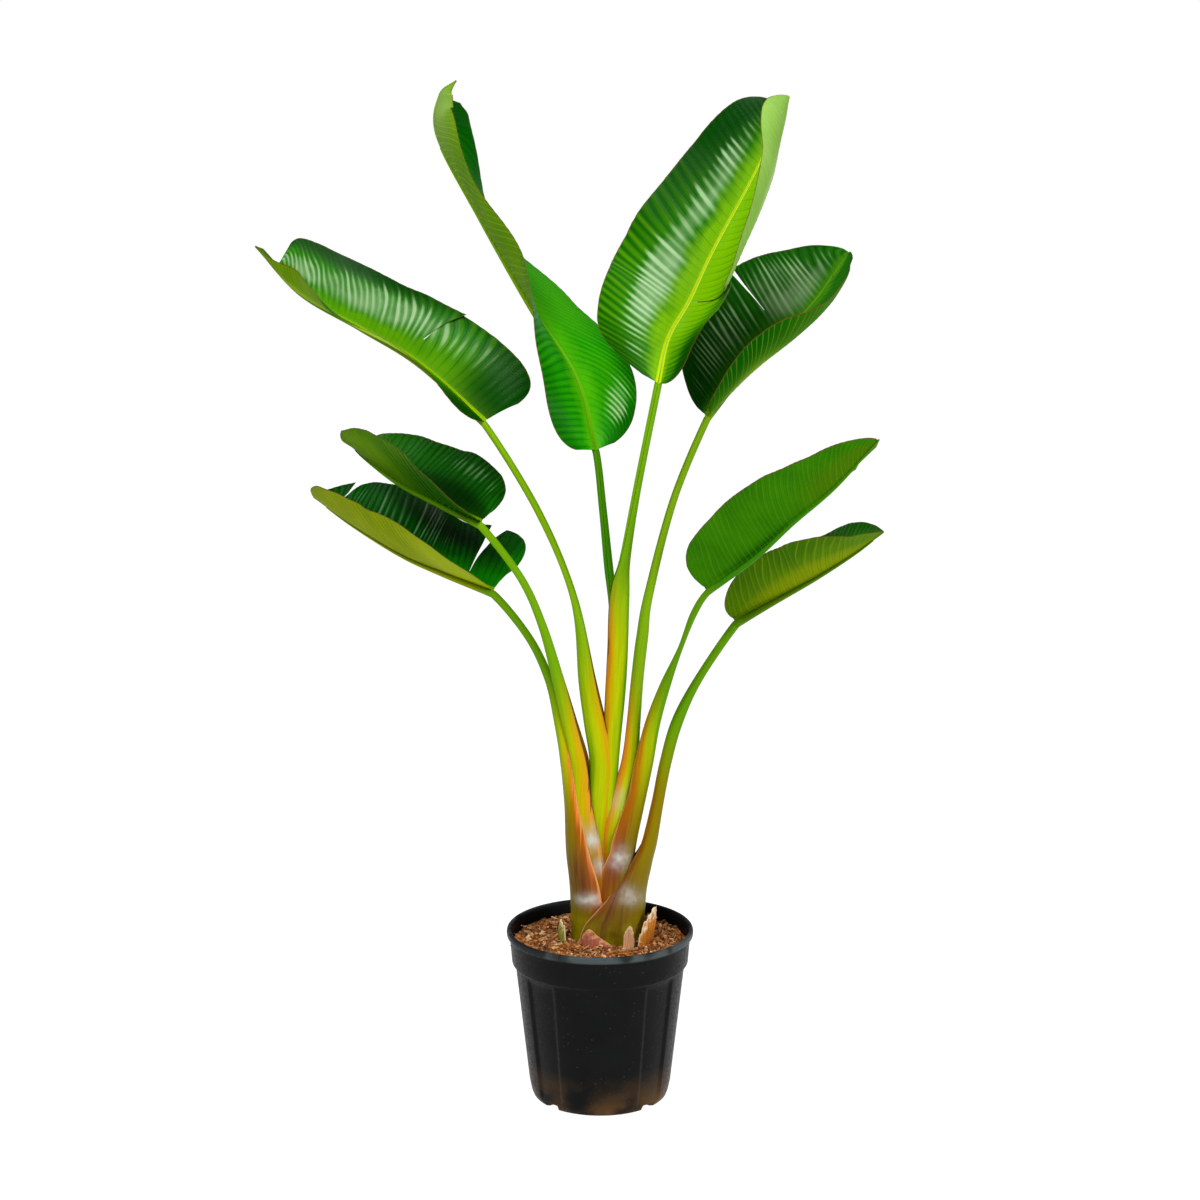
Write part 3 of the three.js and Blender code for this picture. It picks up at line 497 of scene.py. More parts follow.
# %% Leaf measures
# rib: the midrib's points from base to tip, and face: the way the upper side looks there
# right and left, the two halves, with their values from base to tip: the greatest width, the lift
# at the midrib, the further curl out to the margin, the sweep of the margin towards the tip, how
# pointed base and tip are (blunt, where less is rounder), the trim of the width, where the half
# ends and a drip tip goes on (tip), and how far forward the folds run, as a share of the midrib
# keel_end: the share of the midrib that has a keel below
# tears: half, place along the midrib, start between midrib and margin, gape and droop
# back: the way the sheath's back looks
# stalk: x, y, z, half thickness and half width, from under the soil to the blade
LEAVES = {
    "leaf_2": dict(
        rib=[(-5, 40, 940), (-35, 90, 1040), (-100, 160, 1135), (-175, 240, 1255),
             (-241, 310, 1370), (-238, 325, 1430), (-212, 330, 1452)],
        face=[(0.1, -1, 0.3), (0.6, -0.8, 0.4), (0.95, -0.35, 0.4), (1, -0.1, 0.4),
              (1, 0.1, 0.4), (1, 0.1, 0.3), (1, 0.1, -0.2)],
        right=dict(width=110, lift=[20, 18, 16, 4, 42, 52, 40], curl=[-30, -20, 0, 0, 0, 0],
                   sweep=[8, 10, 15, 15, 10, -10], blunt=(0.45, 1.2),
                   slant=[-0.14, -0.14, -0.05, 0.1]),
        left=dict(width=92, lift=[25, 28, 22, 8, 16, 22, 10], curl=[-30, -5, 25, 15, 40, 60, 20],
                  sweep=[10, 14, 16, 16, 10, 0], blunt=(0.38, 0.85),
                  trim=[1, 1, 1, 1, 1, 1, 0.98, 0.72, 0.62, 0.7, 0.7],
                  slant=[0, -0.1, -0.12, -0.1]),
        keel_end=0.64, tears=[], back=(-0.5, -0.8, 0),
        stalk=[(4, 2, 190, 9, 10), (8, 6, 400, 8, 9), (18, 13, 560, 7, 7.5),
               (20, 18, 700, 6.2, 6.8), (12, 20, 780, 6, 6.5), (4, 26, 860, 5.2, 5.6)],
    ),
    "leaf_3": dict(
        rib=[(80, 0, 1040), (95, 30, 1100), (125, 60, 1150), (160, 90, 1220), (215, 140, 1315),
             (250, 170, 1385), (270, 190, 1430)],
        face=[(-0.1, -1, 0.3), (-0.2, -1, 0.35), (-0.3, -1, 0.4)],
        right=dict(width=122, lift=[15, 20, 16, 12, 26, 45], curl=[10, 45, 82, 122, 148, 130],
                   sweep=[0, 5, 12, 14, 8, -10], blunt=(0.5, 0.56),
                   trim=[0.42, 0.6, 0.9, 1.05, 1.1, 1.15]),
        left=dict(width=132, lift=[5, 8, 8, 5, 0], curl=[-25, -30, -30, -20, -10],
                  sweep=[22, 6, 14, 18, 22], blunt=(0.58, 0.42), tip=0.94),
        keel_end=0.9, tears=[("right", 0.33, 0.1, -4, 8)], back=(-1, 0.2, 0),
        stalk=[(8, 0, 190, 14, 16), (10, -1, 380, 11, 12), (15, -3, 500, 12, 11),
               (22, -4, 620, 15.6, 10), (27.5, -4, 740, 14.3, 9), (36, -4, 800, 8.4, 7),
               (53, -3, 900, 5.4, 5.6)],
    ),
    "leaf_1": dict(
        rib=[(-160, 20, 985), (-255, 80, 1060), (-345, 140, 1105), (-436, 195, 1149),
             (-505, 240, 1215)],
        face=[(0, -0.35, 1), (0.1, -0.4, 1), (0.2, -0.45, 1)],
        right=dict(width=118, lift=[34, 37, 35, 30, 25], curl=[-20, -35, -35, -15, 0],
                   sweep=[-12, -6, 4, 14, 46], blunt=(0.3, 0.14),
                   trim=[1.1, 0.92, 0.95, 0.9, 0.64], tip=0.88,
                   slant=[0.02, 0.06, 0.14, 0.16, 0.16]),
        left=dict(width=100, lift=[18, 43, 42, 38, 35, 34, 33, 33, 32, 32, 32],
                  curl=[-5, -4, -2, 0, 2, 14, 40, 58, 60, 50, 40], sweep=[6, 6, 10, 14, 10],
                  blunt=(0.8, 0.75), trim=[1, 1, 1, 1, 0.85, 0.65]),
        keel_end=0.9, tears=[("right", 0.3, 0.3, -9, 5)], back=(1, 0, 0),
        stalk=[(2, 1, 190, 17, 20), (0, 0, 370, 14, 17), (0, -2, 440, 17, 14),
               (3, -4, 500, 18, 13), (-7, -6, 560, 16.4, 11), (-18, -7, 620, 13.2, 9),
               (-37, -6, 740, 5, 6), (-86, 2, 860, 4.8, 5.2)],
    ),
    "leaf_4": dict(
        rib=[(150, 80, 985), (195, 130, 1030), (250, 190, 1075), (315, 260, 1130),
             (375, 340, 1200)],
        face=[(-0.35, -0.35, 1), (-0.35, -0.35, 1), (-0.35, -0.3, 1)],
        right=dict(width=106, lift=[15, 8, 0, -5, -5], curl=[75, 84, 64, 64, 55],
                   sweep=[-10, 8, 18, 24, 30], blunt=(0.42, 0.85)),
        left=dict(width=136, lift=[38, 44, 44, 38, 30], curl=[-20, -10, -10, 0, 0],
                  sweep=[18, 12, 16, 18, 15], blunt=(0.5, 0.55),
                  trim=[0.6, 0.85, 0.96, 1.06, 1.06]),
        keel_end=0.9, tears=[("left", 0.57, 0.36, 3, 2)], back=(-1, 0.3, 0),
        stalk=[(14, 0, 190, 20, 24), (16, -1, 370, 17, 20), (28, -2, 440, 14, 15),
               (42, -1, 500, 12, 12), (48, 2, 560, 10, 10), (53, 6, 620, 9, 8.8),
               (60, 11, 680, 8.6, 8), (69, 16, 740, 6.6, 6.6), (104, 44, 870, 5.2, 5.6)],
    ),
    "leaf_7": dict(
        rib=[(-165, -20, 850), (-228, 60, 864), (-290, 145, 878), (-346, 212, 905),
             (-372, 245, 922)],
        face=[(0.2, 0.1, 1), (0.2, 0.1, 1), (0.2, 0.1, 1)],
        right=dict(width=107, lift=[50, 50, 42, 36, 25], curl=[-20, -20, -10, 0, 0],
                   sweep=[8, 5, 10, 15, 20], blunt=(0.42, 0.8)),
        left=dict(width=96, lift=[15, 34, 40, 30, 12], curl=[10, 10, 10, 0, 0],
                  sweep=[-20, 8, 16, 10, -4], blunt=(0.42, 0.8)),
        keel_end=0.9, tears=[], back=(1, -0.3, 0),
        stalk=[(4, 2, 190, 27, 32), (0, 2, 300, 27, 32), (-11, 0, 370, 21, 27),
               (-24, -2, 440, 17, 20), (-30, -4, 500, 15, 15), (-44, -6, 560, 11.6, 11),
               (-59, -8, 620, 8.8, 8.6), (-81, -12, 700, 6.2, 6.4), (-111, -18, 770, 5.4, 5.8)],
    ),
    "leaf_5": dict(
        rib=[(145, -100, 770), (203, -190, 832), (249, -260, 891), (298, -320, 947),
             (345, -380, 1015)],
        face=[(-0.3, 0.3, 1), (-0.3, 0.3, 1), (-0.3, 0.2, 1)],
        right=dict(width=88, lift=[60, 50, 42, 38, 30], curl=[0, 0, 0, 0, 0],
                   sweep=[-8, 8, 18, 28, 40], blunt=(0.45, 0.7), trim=[1, 0.95, 0.93, 0.98, 1],
                   slant=[0.1, 0.1]),
        left=dict(width=90, lift=[34, 30, 26, 22, 18], curl=[0, 0, 0, 0, 0],
                  sweep=[14, 10, 18, 26, 30], blunt=(0.42, 0.8), trim=[0.95, 0.94, 0.97, 1, 1]),
        keel_end=0.9, tears=[("left", 0.6, 0.36, 5, -6)], back=(-1, 0.2, 0),
        stalk=[(14, 0, 190, 29, 33), (18, -2, 300, 27, 32), (28, -4, 370, 23, 28),
               (50, -8, 440, 14, 17), (62, -14, 500, 13.5, 12), (74, -24, 560, 11, 9),
               (91, -42, 620, 7.8, 7), (112, -62, 680, 3.4, 4.4), (129, -83, 732, 4.6, 5)],
    ),
    "leaf_8": dict(
        rib=[(-150, 20, 745), (-230, 100, 758), (-295, 170, 771), (-375, 240, 804),
             (-435, 300, 834)],
        face=[(0.2, 0.1, 1), (0.2, 0.1, 1), (0.2, 0.1, 1)],
        right=dict(width=122, lift=[50, 46, 44, 46, 35], curl=[-30, -20, 0, 0, 0],
                   sweep=[13, 31, 16, 14, 10], blunt=(0.42, 0.55),
                   trim=[1.6, 0.95, 0.93, 0.98, 1]),
        left=dict(width=100, lift=[18, 18, 20, 20, 20], curl=[10, 34, 36, 34, 30],
                  sweep=[0, 8, 18, 24, 30], blunt=(0.45, 0.75)),
        keel_end=0.9, tears=[("right", 0.13, 0.1, 15, 0), ("right", 0.87, 0.36, 5, 0)],
        back=(1, -0.2, 0),
        stalk=[(-6, 3, 190, 35, 38), (-9, 2, 300, 34, 38), (-24, 1, 370, 25, 31),
               (-36, 1, 440, 15, 21), (-46, 2, 500, 10.5, 13), (-58, 4, 560, 8, 9),
               (-73, 7, 620, 6.5, 7), (-102, 11, 680, 5.6, 6)],
    ),
    "leaf_6": dict(
        rib=[(190, 5, 705), (240, -45, 745), (295, -85, 785), (345, -120, 825), (380, -155, 860)],
        face=[(-0.3, 0.2, 1), (-0.3, 0.2, 1), (-0.3, 0.1, 1)],
        right=dict(width=90, lift=[45, 35, 27, 20, 10], curl=[10, 10, 10, 0, 0],
                   sweep=[0, 14, 18, 28, 40], blunt=(0.5, 0.8), trim=[0.6, 0.88, 1.08, 1.05, 1],
                   slant=[0.1, 0.1]),
        left=dict(width=100, lift=[25, 32, 34, 32, 18], curl=[0, 0, 0, 0, 0],
                  sweep=[12, 4, 6, 0, -10], blunt=(0.42, 0.8), trim=[0.6, 0.82, 1, 1, 1]),
        keel_end=0.9, tears=[], back=(-1, 0.2, 0),
        stalk=[(24, -3, 190, 35, 38), (32, -4, 290, 34, 38), (58, -5, 350, 17, 26),
               (71, -6, 385, 11.5, 17), (82, -6, 440, 9, 11), (93.5, -6, 500, 8.6, 9),
               (110, -5, 560, 8.4, 8), (140, -3, 622, 6, 6.4)],
    ),
}
print("leaves:", ", ".join(LEAVES))

# %% [markdown]
# ## Blade finishes
# The upper side is deep green, brighter beside the lime midrib, with painted shade as a dark line
# in each fold, a painted highlight on each crest and hair-fine veins between. A whitish sheen is
# painted in soft bands, and breaks up into bars on the crests of the pleats; soft patches of
# painted shade darken what lies in shadow. The underside is yellower and duller. Both dry to a
# brown line at the margin and along a tear. A painted picture would fit one leaf only. So the
# colours are mixed from what each point carries: its pleat, its reach from midrib to margin, its
# nearness to an edge and the soft patches listed per leaf.

# %% Blade tones
DRY_BROWN = srgb(118, 82, 38, 0.6)
UPPER_SHARE = 0.8      # tones are written as they look in the light, which brightens them
UNDER_SHARE = 0.85

# upper side on the midrib, beside it, mid way, at the margin, in shade and in sheen
# each leaf's tones are as it looks in the light where it stands, so the darker tones of leaf_7 and
# leaf_8 are partly painted shade
UPPER_TONES = {
    "leaf_1": ((150, 190, 2), (84, 146, 0), (36, 118, 2), (4, 80, 0), (0, 54, 0), (146, 178, 128)),
    "leaf_2": ((96, 168, 4), (70, 168, 4), (18, 138, 0), (4, 108, 0), (0, 84, 0), (170, 208, 142)),
    "leaf_3": ((196, 222, 2), (114, 174, 0), (38, 118, 0), (18, 98, 0), (0, 60, 0),
               (160, 196, 144)),
    "leaf_4": ((120, 176, 10), (60, 132, 4), (24, 98, 6), (12, 82, 6), (0, 56, 2), (156, 190, 136)),
    "leaf_5": ((120, 160, 4), (70, 132, 4), (20, 104, 4), (10, 80, 4), (0, 60, 2), (120, 170, 110)),
    "leaf_6": ((120, 160, 4), (84, 134, 4), (30, 104, 4), (12, 80, 4), (0, 60, 2), (120, 170, 110)),
    "leaf_7": ((110, 164, 4), (44, 124, 2), (6, 90, 2), (0, 62, 0), (0, 38, 0), (104, 150, 92)),
    "leaf_8": ((130, 170, 4), (16, 130, 2), (2, 74, 2), (0, 56, 2), (0, 34, 0), (130, 166, 126)),
}

# underside: main, in its pale patches, in shade and in its light veins
UNDER_TONES = {
    "leaf_1": ((112, 148, 0), (170, 214, 30), (20, 96, 0), (140, 170, 10)),
    "leaf_2": ((112, 156, 2), (124, 156, 74), (20, 104, 0), (172, 204, 50)),
    "leaf_3": ((140, 182, 84), (176, 204, 140), (104, 156, 30), (160, 196, 104)),
    "leaf_4": ((62, 118, 0), (122, 156, 10), (4, 80, 0), (124, 160, 24)),
    "leaf_5": ((56, 128, 0), (70, 112, 0), (0, 76, 0), (100, 156, 20)),
    "leaf_6": ((82, 122, 0), (124, 142, 0), (40, 92, 0), (142, 164, 16)),
    "leaf_7": ((78, 128, 0), (104, 146, 10), (0, 72, 0), (134, 172, 34)),
    "leaf_8": ((134, 150, 0), (160, 178, 10), (80, 112, 0), (184, 196, 44)),
}

# soft patches: kind (sheen is painted sheen, shade is painted shade, pale is a paler colour that on
# some undersides is painted sheen too), place along and across, reach along and across, strength
BLADE_PATCHES = {
    "leaf_1": {
        "right": [("sheen", 0.52, 0.5, 0.34, 0.3, 1.0), ("sheen", 0.78, 0.44, 0.16, 0.2, 1),
                  ("sheen", 0.17, 0.6, 0.07, 0.24, 0.45), ("shade", 0.66, 1.0, 0.36, 0.3, 1),
                  ("shade", 0.02, 0.6, 0.15, 0.8, 1), ("pale", 0.2, 0.3, 0.1, 0.3, 0.5)],
        "left": [("shade", 0.03, 0.5, 0.08, 0.8, 1), ("pale", 0.3, 0.8, 0.1, 0.3, 1),
                 ("pale", 0.75, 0.2, 0.2, 0.3, 0.4)],
    },
    "leaf_2": {
        "right": [("sheen", 0.09, 0.62, 0.05, 0.26, 1), ("pale", 0.14, 0.35, 0.08, 0.4, 0.3),
                  ("pale", 0.36, 0.5, 0.12, 0.7, 0.7), ("shade", 0.02, 0.9, 0.06, 0.5, 0.8),
                  ("shade", 0.74, 0.9, 0.2, 0.6, 1), ("pale", 0.75, 0.2, 0.2, 0.3, 0.6)],
        "left": [("pale", 0.76, 0.4, 0.16, 0.6, 0.9), ("shade", 0.05, 0.9, 0.1, 0.4, 0.6)],
    },
    "leaf_3": {
        "right": [("pale", 0.38, 0.2, 0.3, 0.35, 1), ("shade", 0.1, 0.85, 0.12, 0.3, 1),
                  ("pale", 0.57, 0.55, 0.12, 0.16, 0.8)],
        "left": [("sheen", 0.32, 0.44, 0.26, 0.24, 1.08), ("sheen", 0.62, 0.42, 0.18, 0.2, 0.9),
                 ("shade", 0.88, 0.85, 0.4, 0.6, 1.15), ("shade", 0.04, 0.75, 0.1, 0.4, 0.6)],
    },
    "leaf_4": {
        "right": [("shade", 0.2, 1.0, 0.25, 0.35, 1), ("pale", 0.2, 0.25, 0.25, 0.3, 0.8)],
        "left": [("shade", 0.2, 0.7, 0.3, 0.5, 0.8), ("sheen", 0.72, 0.5, 0.22, 0.45, 0.95),
                 ("sheen", 0.34, 0.5, 0.26, 0.3, 0.72)],
    },
    "leaf_5": {
        "right": [("pale", 0.85, 0.2, 0.25, 0.4, 0.9), ("shade", 0.3, 0.0, 0.2, 0.14, 0.7)],
        "left": [("shade", 0.2, 0.5, 0.18, 0.8, 1), ("pale", 0.8, 0.6, 0.3, 0.6, 0.9)],
    },
    "leaf_6": {
        "right": [("pale", 0.5, 0.15, 0.4, 0.25, 0.9), ("shade", 0.4, 0.85, 0.3, 0.3, 0.5)],
        "left": [("pale", 0.15, 0.25, 0.3, 0.4, 0.9), ("shade", 0.55, 0.85, 0.3, 0.3, 0.5)],
    },
    "leaf_7": {
        "right": [("shade", 0.2, 0.15, 0.35, 0.3, 1), ("sheen", 0.25, 0.72, 0.2, 0.15, 0.75),
                  ("pale", 0.9, 0.5, 0.3, 0.7, 0.7)],
        "left": [("shade", 0.15, 0.35, 0.26, 0.7, 1), ("pale", 0.75, 0.5, 0.25, 0.5, 0.8)],
    },
    "leaf_8": {
        "right": [("sheen", 0.55, 0.6, 0.32, 0.36, 0.58), ("pale", 0.02, 0.6, 0.12, 0.7, 1),
                  ("shade", 0.36, 0.8, 0.22, 0.4, 0.8)],
        "left": [("pale", 0.1, 0.5, 0.14, 0.6, 0.85)],
    },
}
print("tones for", len(UPPER_TONES), "upper sides and", len(UNDER_TONES), "undersides")

# %% Blade finishes
DRY_START = 0.985      # nearness to the edge at which a blade turns brown
DRY_RAGGED = 0.012


def scaled(tree, value, share):
    """Value times a share, which is a number or another value."""
    return math_node(tree, "MULTIPLY", value, share)


def browned(tree, colour, nearness, start, ragged, brown, grain):
    """Colour that turns brown near an edge."""
    dry = place(tree, dry_edge, Nearness=reading(tree, nearness), Start=start, Vector=grain,
                Raggedness=ragged).outputs["Mask"]
    return mix(tree, dry, colour, brown)


def upper_finish(leaf, tones):
    material, tree, shader = finish_tree(f"{leaf}_upper")
    rib, by_rib, middle, margin, deep, sheen = (srgb(*tone, UPPER_SHARE) for tone in tones)
    grain = reading(tree, "grain", "Vector")
    reach = reading(tree, "reach")
    patch = place(tree, mottle, Vector=grain, Scale=22.0, Detail=4.0).outputs["Patch"]
    speckle = place(tree, mottle, Vector=grain, Scale=420.0, Detail=2.0).outputs["Patch"]
    vein = place(tree, veins, Pleat=reading(tree, "pleat"), Vector=grain, Fine_Count=4.0).outputs
    along = math_node(tree, "ADD", reach, fade(tree, patch, 0, 1, -0.06, 0.06))
    colour = ramp(tree, along, [
        (0.0, by_rib), (0.1, by_rib), (0.3, middle), (0.6, middle), (1.0, margin),
    ])
    colour = mix(tree, scaled(tree, reading(tree, "pale"), 0.85), colour, by_rib)
    # painted highlight: the crest of each pleat is lightened
    bar = scaled(tree, vein["Crest"], vein["Each"])
    colour = mix(tree, scaled(tree, bar, 0.4), colour, by_rib)
    # painted shade: the shade patches, then a dark line in each fold
    colour = mix(tree, scaled(tree, reading(tree, "shade"), 0.9), colour, deep)
    folded = scaled(tree, vein["Fold"], fade(tree, reach, 0, 0.4, 0.15, 0.5))
    colour = mix(tree, folded, colour, deep)
    colour = mix(tree, scaled(tree, vein["Fine"], 0.14), colour, deep)
    # the painted sheen of the sheen patches opens between the crests, more so towards the margin
    gap = scaled(tree, fade(tree, bar, 1, 0, 0, 0.68), fade(tree, reach, 0.15, 0.5, 0.4))
    painted_sheen = math_node(tree, "SUBTRACT", reading(tree, "sheen"), gap)
    painted_sheen = math_node(tree, "ADD", painted_sheen, fade(tree, patch, 0, 1, -0.12, 0.08))
    colour = mix(tree, fade(tree, painted_sheen, 0, 1.05), colour, sheen)
    colour = mix(tree, fade(tree, reading(tree, "rib"), 1.25, 0.85), colour, rib)
    colour = browned(tree, colour, "edge", DRY_START, DRY_RAGGED, DRY_BROWN, grain)
    relief = math_node(tree, "ADD", vein["Fine"], scaled(tree, speckle, 0.1))
    shader.inputs["Specular IOR Level"].default_value = 0.03
    complete(tree, shader, colour, fade(tree, speckle, 0, 1, 0.26, 0.36), relief, 0.25, 0.0004)
    return material


def under_finish(leaf, tones):
    material, tree, shader = finish_tree(f"{leaf}_under")
    main, pale, deep, light = (srgb(*tone, UNDER_SHARE) for tone in tones)
    grain = reading(tree, "grain", "Vector")
    patch = place(tree, mottle, Vector=grain, Scale=16.0, Detail=4.0).outputs["Patch"]
    speckle = place(tree, mottle, Vector=grain, Scale=380.0, Detail=2.0).outputs["Patch"]
    vein = place(tree, veins, Pleat=reading(tree, "pleat"), Vector=grain, Fine_Count=3.0).outputs
    colour = mix(tree, scaled(tree, patch, 0.35), main, deep)
    # pale patches: a paler, yellower underside, with a painted sheen in some of them
    colour = mix(tree, reading(tree, "pale"), colour, pale)
    # painted shade from the shade patches
    colour = mix(tree, reading(tree, "shade"), colour, deep)
    line = scaled(tree, vein["Fold"], vein["Each"])
    colour = mix(tree, scaled(tree, line, 0.6), colour, light)
    colour = mix(tree, scaled(tree, vein["Fine"], 0.5), colour, deep)
    colour = browned(tree, colour, "edge", DRY_START, DRY_RAGGED, DRY_BROWN, grain)
    relief = math_node(tree, "ADD", vein["Fine"], scaled(tree, speckle, 0.5))
    shader.inputs["Specular IOR Level"].default_value = 0.01
    complete(tree, shader, colour, fade(tree, speckle, 0, 1, 0.5, 0.62), relief, 0.4, 0.0005)
    return material


blade_finishes = {
    leaf: (upper_finish(leaf, UPPER_TONES[leaf]), under_finish(leaf, UNDER_TONES[leaf]))
    for leaf in LEAVES
}
print("blade finishes:", 2 * len(blade_finishes))

# %% [markdown]
# ## Outline of a blade
# A blade is a long oval, blunt at its base and drawn out to a tip. A traced outline would fit one
# half of one leaf. A formula does for all sixteen halves: half a sine wave, pushed so that it is
# widest near the base, and raised to a power that makes its ends blunt or pointed.

# %% Outline of a blade
WIDEST_AT = 0.38
DRIP_SHARE = 0.08      # drip tip: half width as a share, and the share of the length it tapers in
DRIP_TAPER = 0.04
BLADE_ROWS = 350
END_CROWDING = 0.25    # share of the rows' spacing that gathers them at base and tip
TEAR_HALF_WIDTH = 0.0016


def rib_frame(leaf, t):
    """Midrib points, their direction, the way the upper side faces and where right lies."""
    rib, step = leaf["rib"], 0.001
    ahead, behind = smooth(rib, np.minimum(t + step, 1)), smooth(rib, np.maximum(t - step, 0))
    along = unit(ahead - behind)
    up = smooth(leaf["face"], t)
    up = unit(up - (up * along).sum(-1, keepdims=True) * along)
    return smooth(rib, t), along, up, np.cross(along, up)


def rib_length(leaf):
    steps = np.diff(smooth(leaf["rib"], np.linspace(0, 1, 80)), axis=0)
    return np.linalg.norm(steps, axis=1).sum()


def outline(t, half):
    """Half width of a blade; past its tip a half runs on as a narrow drip tip."""
    skew = math.log(0.5) / math.log(WIDEST_AT)
    tip = half.get("tip", 1.0)
    u = np.minimum(t / tip, 1)
    fullness = half["blunt"][0] + (half["blunt"][1] - half["blunt"][0]) * u
    share = np.maximum(np.sin(math.pi * u ** skew), 0) ** fullness
    if tip < 1:
        narrow = DRIP_SHARE * np.clip((1 - t) / DRIP_TAPER, 0, 1)
        share = np.maximum(share, np.where(t > WIDEST_AT, narrow, 0))
    return half["width"] * share * smooth(half.get("trim", [1, 1]), t)


def blade_columns():
    """Places across one half, close together at the midrib and at the margin."""
    return np.concatenate([
        np.linspace(0, 0.072, 7), np.linspace(0.072, 0.95, 16)[1:], [0.975, 0.99, 1]
    ])


def blade_rows(leaf):
    """Places along the midrib, with a row at each lip of a tear."""
    even = np.linspace(0, 1, BLADE_ROWS)
    rows = (1 - END_CROWDING) * even + END_CROWDING * (1 - np.cos(math.pi * even)) / 2
    rows = np.unique(np.clip(rows, 0.003, 0.997))
    for _, at, _, _, _ in leaf["tears"]:
        rows = rows[np.abs(rows - at) > 2 * TEAR_HALF_WIDTH]
        rows = np.append(rows, [at - TEAR_HALF_WIDTH, at + TEAR_HALF_WIDTH])
    return np.sort(rows)


print("columns in half a blade:", len(blade_columns()))

# %% [markdown]
# ## Pleats, midrib and tears
# A blade is one thin sheet folded into shallow pleats along its side veins. It could be a flat
# outline with a bump map, but then its margin and its shine would be flat too, so the pleats are
# real: broad ridges with narrow folds between them, fading out at the midrib, where a groove runs
# between two soft shoulders. A tear is a row of cells left out, with its lips pulled apart.

# %% Pleats, midrib and tears
PLEAT_PITCH = 10.5     # distance between folds along the midrib
PLEAT_HEIGHT = 1.1
PLEAT_FADE = (4, 36)   # from the midrib, where pleats begin and reach their height
PLEAT_SLANT = [0.05, 0.05]
RIB_HALF_WIDTH = (3.8, 1.0)    # at base and tip
SHOULDER = 0.9
MARGIN_WAVE = 2.6
WAVE_FADE = (10, 60)   # half widths between which the margin begins to wave
TEAR_REACH = 0.08      # share of the midrib over which a torn lip bends
LIP_BROWN = 1.6        # how far a lip is brown


def pleat_count(half, side, t, s, length, rng):
    """Pleats from the base to each point; a fold runs forward on its way to the margin."""
    start = 0.5 if side == "left" else 0
    count = t * length / PLEAT_PITCH + start + 0.5 * ripple(rng, t, 6, 2.0)
    slant = smooth(half.get("slant", PLEAT_SLANT), t) * length / PLEAT_PITCH
    return count[:, None] - slant[:, None] * s[None] ** 1.4


def relief_of_half(t, s, width, pleat, from_rib, rng):
    """Height of pleats, midrib and wavy margin above the smooth half."""
    fold = np.abs(np.sin(math.pi * pleat)) ** 0.8 - 0.62
    depth = soft_step(width[:, None] * s, *PLEAT_FADE) * (1 - 0.55 * s[None] ** 3)
    depth = depth * (0.75 + 0.35 * ripple(rng, t, 3, 1.5))[:, None]
    ridge = bell(from_rib, 1.15, 0.45) - bell(from_rib, 0, 0.5)
    wave = MARGIN_WAVE * ripple(rng, t, 4, 2.0)[:, None] * s[None] ** 3
    wave = wave * soft_step(width, *WAVE_FADE)[:, None]
    return PLEAT_HEIGHT * fold * depth + SHOULDER * ridge + wave


def tear_lips(leaf, side, t, s, length):
    """Pull along the midrib, lift and brownness that the tears give to a half."""
    pull, lifted, brown = np.zeros((3, len(t), len(s)))
    for at_side, at, start, gape, droop in leaf["tears"]:
        if at_side == side:
            reach = np.clip((s - start) / (1 - start), 0, 1)[None]
            bend = np.exp(-np.abs(t - at) / TEAR_REACH)[:, None] * reach ** 2
            pull = pull + gape * np.sign(t - at)[:, None] * bend
            lifted = lifted + np.where(t > at, droop, 0)[:, None] * bend
            lip = np.exp(-(np.abs(t - at) - TEAR_HALF_WIDTH) * length / LIP_BROWN)[:, None]
            brown = np.maximum(brown, lip * (reach > 0))
    return pull, lifted, brown


def soft_patches(patches, t, s):
    """Strength of painted sheen, painted shade and paler colour at each point of a half."""
    strengths = {kind: np.zeros((len(t), len(s))) for kind in ("sheen", "shade", "pale")}
    for kind, at, out, long, wide, strength in patches:
        from_middle = ((t[:, None] - at) / long) ** 2 + ((s[None] - out) / wide) ** 2
        patch = strength * np.exp(-from_middle ** 2)
        strengths[kind] = np.maximum(strengths[kind], patch)
    return strengths


print("pleats on the longest blade:", round(max(map(rib_length, LEAVES.values())) / PLEAT_PITCH))

# %% [markdown]
# ## Blades
# Each half starts at the midrib with its lift and bends on by its curl, so that a cut across it is
# an arc of a circle. Sweeping a flat outline along the midrib would not let a half roll in on
# itself, as some of these do. The lower face is the upper one moved in by the blade's thickness,
# thinner at the margin.

# %% Blades
SHEET = 0.8            # thickness of a blade
SHEET_MARGIN = 0.4
NICK = 0.004           # unevenness of the outline
LEAST_CURL = 0.001
EDGE_REACH = 130       # distance from the margin at which an edge is no longer near


def in_rows(values):
    """One row per point of a grid of numbers or vectors."""
    return values.reshape(-1, 3) if values.ndim == 3 else values.ravel()


